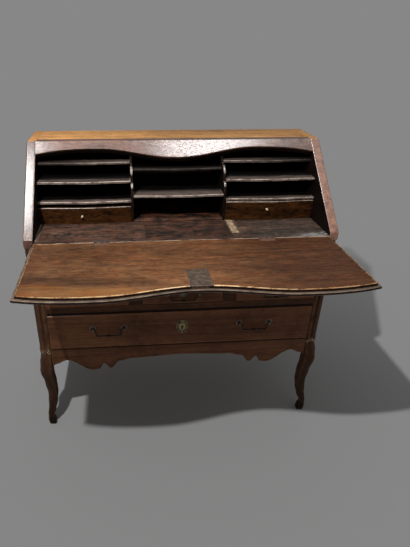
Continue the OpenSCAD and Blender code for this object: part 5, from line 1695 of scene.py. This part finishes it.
def make_long_drawer():
    x1, z0, z1, body = POST_IN - 1.2, DRAWER_LOW, DRAWER_TOP, "long_drawer"
    face, rear = 1.5, 23.5
    s = Shape(91)
    s.board(-x1, x1, face, rear, z0, z1, 1.6, tone=0.55)
    cuts = [rod_shape(4.4, (0, -3, 436.5), "y", 16), box_shape(-2.6, 2.6, -3, 13, 424, 438),
            box_shape(-BOLT_X, BOLT_X, *BOLT_Y, 469.5, 503)]
    s.dress("long_drawer_front", ["facade"], "walnut", body, cuts=cuts)
    s = Shape(92)
    drawer_boards(s, -POST_IN + 2.5, POST_IN - 2.5, rear, DEPTH - POST - 2, 362, 491.5, 12)
    s.dress("long_drawer_box", ["oak"], "oak", body)
    make_tails(93, body, -x1, x1, rear, 364, 488, 4)
    s = Shape(94)
    for x in (-HANDLE_X, HANDLE_X):
        handle_posts(s, x, HANDLE_Z, face)
    s.dress("long_drawer_handle_posts", ["dark_brass"], "brass", body)
    s = Shape(95)
    ornate_escutcheon(s, face, ESCUTCHEON_Z)
    s.dress("long_drawer_escutcheon", ["brass", "dark_brass", "dim_brass"], "brass", body)
    pins = [((x, 0.9, ESCUTCHEON_Z + z), (0, -1, 0)) for x, z in ((0, -27.5), (-19.5, 1), (19.5, 1))]
    seat_piece(heads_on(pins, 1.3, 0.7, 8, "brass"), "long_escutcheon_pins", body, ())
    for side, x in (("left", -HANDLE_X), ("right", HANDLE_X)):
        name = "long_drawer_%s_bail" % side
        bail_shape(x, HANDLE_Z, face).dress(name, ["bail"], "brass", name)


def make_small_drawers():
    x_in, x_out = UPRIGHT
    bays = (("left", -POST_IN, -x_out), ("centre", -x_in, x_in), ("right", x_out, POST_IN))
    for k, (side, x0, x1) in enumerate(bays):
        body, cx = side + "_small_drawer", (x0 + x1) / 2
        s = Shape(101 + k)
        s.board(x0 + 1.2, x1 - 1.2, FACE, FACE_BACK, MIDDLE_RAIL[1] + 1.5, SMALL_RAIL[0] - 1.5, 1.6)
        cuts = [rod_shape(3, (cx, -1, SMALL_KEY_Z), "y", 14), box_shape(cx - 1.7, cx + 1.7, -1, 13, 566, 576)]
        s.dress(body + "_front", ["facade"], "walnut", body, cuts=cuts)
        s = Shape(104 + k)
        drawer_boards(s, x0 + 2, x1 - 2, FACE_BACK, DEPTH - POST - 2, 530.3, 612.5, 9)
        s.dress(body + "_box", ["oak"], "oak", body)
        make_tails(107 + k, body, x0 + 1.2, x1 - 1.2, FACE_BACK, 535, 610, 3)
        s = Shape(110 + k)
        handle_posts(s, cx, SMALL_HANDLE_Z, FACE)
        pierced(s, shield_edge(30, 44), 2.2, lambda a, b, h: (cx + a, FACE - h, SMALL_KEY_Z + b), dome(0.8))
        s.dress(body + "_hardware", ["dark_brass"], "brass", body)
        bail_shape(cx, SMALL_HANDLE_Z, FACE).dress(body + "_bail", ["bail"], "brass", body + "_bail")


IRONWORK = {"hinge_fall_leaves": "hinge", "hinge_frame_leaves": "leaf", "hinge_pins": "leaf",
            "fall_lock_bolt": "iron", "long_drawer_lock": "iron", "long_drawer_bolt": "iron"}


def make_small_metal():
    """Hinges, bolts and the long drawer's lock keep their exact shape and take the finish of old iron."""
    for name, finish in IRONWORK.items():
        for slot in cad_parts[name].material_slots:
            slot.material = FINISH[finish]


# Camera, fitted to the photo

VIEW = {
    "focal": 464.2666,
    "shift": (0.10280, 0.08178),
    "place": (-0.20379, -1.457417, 1.35282),
    "axes": ((0.995899, -0.090151, 0.00767), (0.081439, 0.856249, -0.510104), (0.039419, 0.508636, 0.860079)),
}


# Stage

FLOOR_REACH = 60.0
SOFTBOX_Z = 3.1
SOFTBOX_DEPTH = 0.9
SENSOR = 36.0
PHOTO_WIDTH = 410
CLIP_END = 200


def studio_grey(setup):
    """A matt grey that evens out the fall of the near lamp's light and runs into the background far away."""
    m, n = new_finish("studio_floor")
    xyz = n.node("ShaderNodeSeparateXYZ", {0: n.object_place()}).outputs
    x, y, h = setup.lamp_place
    dx, dy = n.less(xyz[0], x), n.less(xyz[1], y)
    far = n.add(n.times(dx, dx), n.add(n.times(dy, dy), h * h))
    strength = setup.lamp / (4 * math.pi)
    light = n.add(n.times(n.math("POWER", far, -1.5), strength * h), math.pi * setup.fill)
    grey = n.math("DIVIDE", math.pi * setup.grey, light)
    away = n.math("SQRT", n.add(n.times(xyz[0], xyz[0]), n.times(xyz[1], xyz[1])))
    matt = n.node("ShaderNodeBsdfDiffuse", {0: n.grey(grey)})
    wall = n.node("ShaderNodeEmission", {"Color": (setup.grey,) * 3 + (1.0,)})
    n.show(n.node("ShaderNodeMixShader", {0: n.span(away, 1.7, 2.6), 1: matt.outputs[0], 2: wall.outputs[0]}))
    return m


def add_lamp(name, kind, power, place_at, look_at=None, **settings):
    lamp = bpy.data.lights.new(name, kind)
    lamp.energy = power
    for key, value in settings.items():
        setattr(lamp, key, value)
    obj = bpy.data.objects.new(name, lamp)
    bpy.context.scene.collection.objects.link(obj)
    obj.location = place_at
    if look_at:
        obj.rotation_euler = (Vector(place_at) - Vector(look_at)).to_track_quat("Z", "Y").to_euler()
    return obj


def make_stage(setup):
    scene = bpy.context.scene
    mesh = bpy.data.meshes.new("floor")
    w = FLOOR_REACH
    mesh.from_pydata([(-w, -w, 0), (w, -w, 0), (w, w, 0), (-w, w, 0)], [], [(0, 1, 2, 3)])
    mesh.materials.append(studio_grey(setup))
    floor = bpy.data.objects.new("studio_floor", mesh)
    scene.collection.objects.link(floor)
    key = add_lamp("key_lamp", "POINT", setup.lamp, tuple(setup.lamp_place), shadow_soft_size=setup.lamp_size)
    for k, name in enumerate(("softbox_middle", "softbox_left")):
        power, width = setup.softbox[k], setup.softbox_width[k]
        x, y = setup.softbox_at[k], setup.softbox_at[2]
        box = add_lamp(name, "AREA", power * width, (x, y, SOFTBOX_Z), (x, y, 0), shape="RECTANGLE",
                       size=width, size_y=SOFTBOX_DEPTH)
        box.visible_diffuse = False
    world = bpy.data.worlds.new("studio")
    world.use_nodes = True
    world.node_tree.nodes.clear()
    n = Net(world.node_tree)
    rays = n.node("ShaderNodeLightPath").outputs
    seen = n.math("MAXIMUM", rays["Is Camera Ray"], rays["Is Transmission Ray"])
    back = n.node("ShaderNodeBackground", {"Color": (setup.grey,) * 3 + (1.0,)})
    fill = n.node("ShaderNodeBackground", {"Color": (1.0, 1.0, 1.0, 1.0), "Strength": setup.fill})
    n.show(n.node("ShaderNodeMixShader", {0: seen, 1: fill.outputs[0], 2: back.outputs[0]}),
           "ShaderNodeOutputWorld")
    scene.world = world
    cam = bpy.data.cameras.new("camera")
    eye = bpy.data.objects.new("camera", cam)
    scene.collection.objects.link(eye)
    cam.sensor_fit, cam.sensor_width = "HORIZONTAL", SENSOR
    cam.lens = VIEW["focal"] / PHOTO_WIDTH * SENSOR
    cam.shift_x, cam.shift_y = VIEW["shift"]
    cam.clip_end = CLIP_END
    right, forward, up = [Vector(v) for v in VIEW["axes"]]
    turn = Matrix((right, up, -forward)).transposed().to_4x4()
    eye.matrix_world = Matrix.Translation(Vector(VIEW["place"])) @ turn
    scene.camera = eye
    scene.view_settings.view_transform = "Standard"


# Add-on

class DeskLook(bpy.types.PropertyGroup):
    walnut_light: FloatVectorProperty(name="Light wood", description="Colour of the walnut's early wood",
                                      subtype="COLOR", size=3, min=0.0, max=1.0, default=(0.33, 0.134, 0.061))
    walnut_dark: FloatVectorProperty(name="Dark wood", description="Colour of the walnut's late wood",
                                     subtype="COLOR", size=3, min=0.0, max=1.0,
                                     default=(0.125, 0.046, 0.0195))
    wear: FloatProperty(name="Wear", description="How far the arrises are rubbed", subtype="FACTOR", min=0.0,
                        max=1.0, default=0.55)
    polish: FloatProperty(name="Polish", description="How much wax polish is left", subtype="FACTOR", min=0.0,
                          max=1.0, default=0.8)


class DeskStage(bpy.types.PropertyGroup):
    lamp: FloatProperty(name="Lamp", description="Power of the key lamp in watts", min=0.0, default=126.0)
    lamp_size: FloatProperty(name="Lamp size", description="Radius of the key lamp in metres", min=0.01,
                             max=1.0, default=0.03)
    lamp_place: FloatVectorProperty(
        name="Lamp place", subtype="XYZ", size=3, default=(-0.737, -1.099, 2.389),
        description="Place of the key lamp, read from the shadow")
    softbox: FloatVectorProperty(
        name="Softboxes", size=2, min=0.0, default=(58.0, 120.0),
        description="Power of the middle and left overhead softbox per metre of width, seen in polish only")
    softbox_at: FloatVectorProperty(
        name="Softbox places", size=3, default=(0.52, -1.08, 0.04),
        description="Sideways places of the middle and left softbox and the depth of both, in metres")
    softbox_width: FloatVectorProperty(
        name="Softbox widths", size=2, default=(0.75, 0.42),
        description="Widths of the middle and left softbox in metres")
    fill: FloatProperty(name="Fill", description="Strength of the light from all sides", min=0.0,
                        default=0.178)
    grey: FloatProperty(name="Background", description="Lightness of floor and background", min=0.0, max=1.0,
                        default=0.242)


class DESK_OT_top(bpy.types.Operator):
    """Make the top board with its mitred front edge"""
    bl_idname = "desk.top"
    bl_label = "Top board"

    def execute(self, context):
        make_top()
        return {"FINISHED"}


class DESK_OT_gables(bpy.types.Operator):
    """Make the two gables with their slanted, nosed fronts"""
    bl_idname = "desk.gables"
    bl_label = "Gables"

    def execute(self, context):
        make_gables()
        return {"FINISHED"}


class DESK_OT_slope_rail(bpy.types.Operator):
    """Make the serpentine rail between the gables"""
    bl_idname = "desk.slope_rail"
    bl_label = "Slope rail"

    def execute(self, context):
        make_slope_rail()
        return {"FINISHED"}


class DESK_OT_front_legs(bpy.types.Operator):
    """Make the two front legs with their carved knees and grooved posts"""
    bl_idname = "desk.front_legs"
    bl_label = "Front legs"

    def execute(self, context):
        make_front_legs()
        return {"FINISHED"}


class DESK_OT_rear_legs(bpy.types.Operator):
    """Make the two rear legs"""
    bl_idname = "desk.rear_legs"
    bl_label = "Rear legs"

    def execute(self, context):
        make_rear_legs()
        return {"FINISHED"}


class DESK_OT_side_panels(bpy.types.Operator):
    """Make the two side panels with their scalloped lower edge"""
    bl_idname = "desk.side_panels"
    bl_label = "Side panels"

    def execute(self, context):
        make_side_panels()
        return {"FINISHED"}


class DESK_OT_apron(bpy.types.Operator):
    """Make the front apron and the bead along its scalloped edge"""
    bl_idname = "desk.apron"
    bl_label = "Apron"

    def execute(self, context):
        make_apron()
        return {"FINISHED"}


class DESK_OT_front_rails(bpy.types.Operator):
    """Make the rails, the uprights and the frieze with the slots of the lopers"""
    bl_idname = "desk.front_rails"
    bl_label = "Front rails"

    def execute(self, context):
        make_front_rails()
        return {"FINISHED"}


class DESK_OT_inside(bpy.types.Operator):
    """Make the dust board, the runners, the guides and the well"""
    bl_idname = "desk.inside"
    bl_label = "Inside"

    def execute(self, context):
        make_inside()
        return {"FINISHED"}


class DESK_OT_back(bpy.types.Operator):
    """Make the back boards and their nails"""
    bl_idname = "desk.back"
    bl_label = "Back boards"

    def execute(self, context):
        make_back()
        return {"FINISHED"}


class DESK_OT_pegs(bpy.types.Operator):
    """Make the heads of the pegs that hold the joints"""
    bl_idname = "desk.pegs"
    bl_label = "Pegs"

    def execute(self, context):
        make_pegs()
        return {"FINISHED"}


class DESK_OT_fall(bpy.types.Operator):
    """Make the fall with its rebated, moulded edge"""
    bl_idname = "desk.fall"
    bl_label = "Fall"

    def execute(self, context):
        make_fall()
        return {"FINISHED"}


class DESK_OT_fall_lock(bpy.types.Operator):
    """Make the lock plate, its nails and the escutcheon of the fall"""
    bl_idname = "desk.fall_lock"
    bl_label = "Lock of the fall"

    def execute(self, context):
        make_fall_lock()
        return {"FINISHED"}


class DESK_OT_floor(bpy.types.Operator):
    """Make the boards of the writing floor"""
    bl_idname = "desk.floor"
    bl_label = "Writing floor"

    def execute(self, context):
        make_floor()
        return {"FINISHED"}


class DESK_OT_cover(bpy.types.Operator):
    """Make the sliding cover of the well"""
    bl_idname = "desk.cover"
    bl_label = "Sliding cover"

    def execute(self, context):
        make_cover()
        return {"FINISHED"}


class DESK_OT_gallery(bpy.types.Operator):
    """Make the scalloped dividers and the shelves"""
    bl_idname = "desk.gallery"
    bl_label = "Gallery"

    def execute(self, context):
        make_gallery()
        return {"FINISHED"}


class DESK_OT_inner_drawers(bpy.types.Operator):
    """Make the two inner drawers with their bone knobs"""
    bl_idname = "desk.inner_drawers"
    bl_label = "Inner drawers"

    def execute(self, context):
        make_inner_drawers()
        return {"FINISHED"}


class DESK_OT_lopers(bpy.types.Operator):
    """Make the two lopers that carry the open fall"""
    bl_idname = "desk.lopers"
    bl_label = "Lopers"

    def execute(self, context):
        make_lopers()
        return {"FINISHED"}


class DESK_OT_long_drawer(bpy.types.Operator):
    """Make the long drawer, its handles and its escutcheon"""
    bl_idname = "desk.long_drawer"
    bl_label = "Long drawer"

    def execute(self, context):
        make_long_drawer()
        return {"FINISHED"}


class DESK_OT_small_drawers(bpy.types.Operator):
    """Make the three small drawers with their handles"""
    bl_idname = "desk.small_drawers"
    bl_label = "Small drawers"

    def execute(self, context):
        make_small_drawers()
        return {"FINISHED"}


class DESK_OT_small_metal(bpy.types.Operator):
    """Give the hinges, bolts and lock their old iron finish"""
    bl_idname = "desk.small_metal"
    bl_label = "Hinges and bolts"

    def execute(self, context):
        make_small_metal()
        return {"FINISHED"}


class DESK_OT_finishes(bpy.types.Operator):
    """Mix the finishes from the colours that are set"""
    bl_idname = "desk.finishes"
    bl_label = "Finishes"

    def execute(self, context):
        make_finishes(context.scene.desk_look)
        return {"FINISHED"}


class DESK_OT_stage(bpy.types.Operator):
    """Set up the floor, the light, the background and the camera"""
    bl_idname = "desk.stage"
    bl_label = "Stage"

    def execute(self, context):
        make_stage(context.scene.desk_stage)
        return {"FINISHED"}


PIECES = (DESK_OT_top, DESK_OT_gables, DESK_OT_slope_rail, DESK_OT_front_legs, DESK_OT_rear_legs,
          DESK_OT_side_panels, DESK_OT_apron, DESK_OT_front_rails, DESK_OT_inside, DESK_OT_back, DESK_OT_pegs,
          DESK_OT_fall, DESK_OT_fall_lock, DESK_OT_floor, DESK_OT_cover, DESK_OT_gallery,
          DESK_OT_inner_drawers, DESK_OT_lopers, DESK_OT_long_drawer, DESK_OT_small_drawers,
          DESK_OT_small_metal)
CLASSES = (DeskLook, DeskStage, DESK_OT_finishes, *PIECES, DESK_OT_stage)


class DESK_PT_panel(bpy.types.Panel):
    """Sizes of the look and a button for each piece"""
    bl_idname = "DESK_PT_panel"
    bl_label = "Slant-front desk"
    bl_space_type = "VIEW_3D"
    bl_region_type = "UI"
    bl_category = "Desk"

    def draw(self, context):
        column = self.layout.column()
        for group in (context.scene.desk_look, context.scene.desk_stage):
            for key in group.bl_rna.properties.keys():
                if key not in ("rna_type", "name"):
                    column.prop(group, key)
        for operator in (DESK_OT_finishes, *PIECES, DESK_OT_stage):
            column.operator(operator.bl_idname)


def register():
    for c in (*CLASSES, DESK_PT_panel):
        bpy.utils.register_class(c)
    bpy.types.Scene.desk_look = PointerProperty(type=DeskLook)
    bpy.types.Scene.desk_stage = PointerProperty(type=DeskStage)


def unregister():
    del bpy.types.Scene.desk_look
    del bpy.types.Scene.desk_stage
    for c in reversed((*CLASSES, DESK_PT_panel)):
        bpy.utils.unregister_class(c)


def main():
    register()
    bpy.ops.desk.finishes()
    for operator in PIECES:
        key = operator.bl_idname.split(".")[1]
        getattr(bpy.ops.desk, key)()
    bpy.ops.desk.stage()
    bpy.context.view_layer.update()


if __name__ == "__main__":
    main()
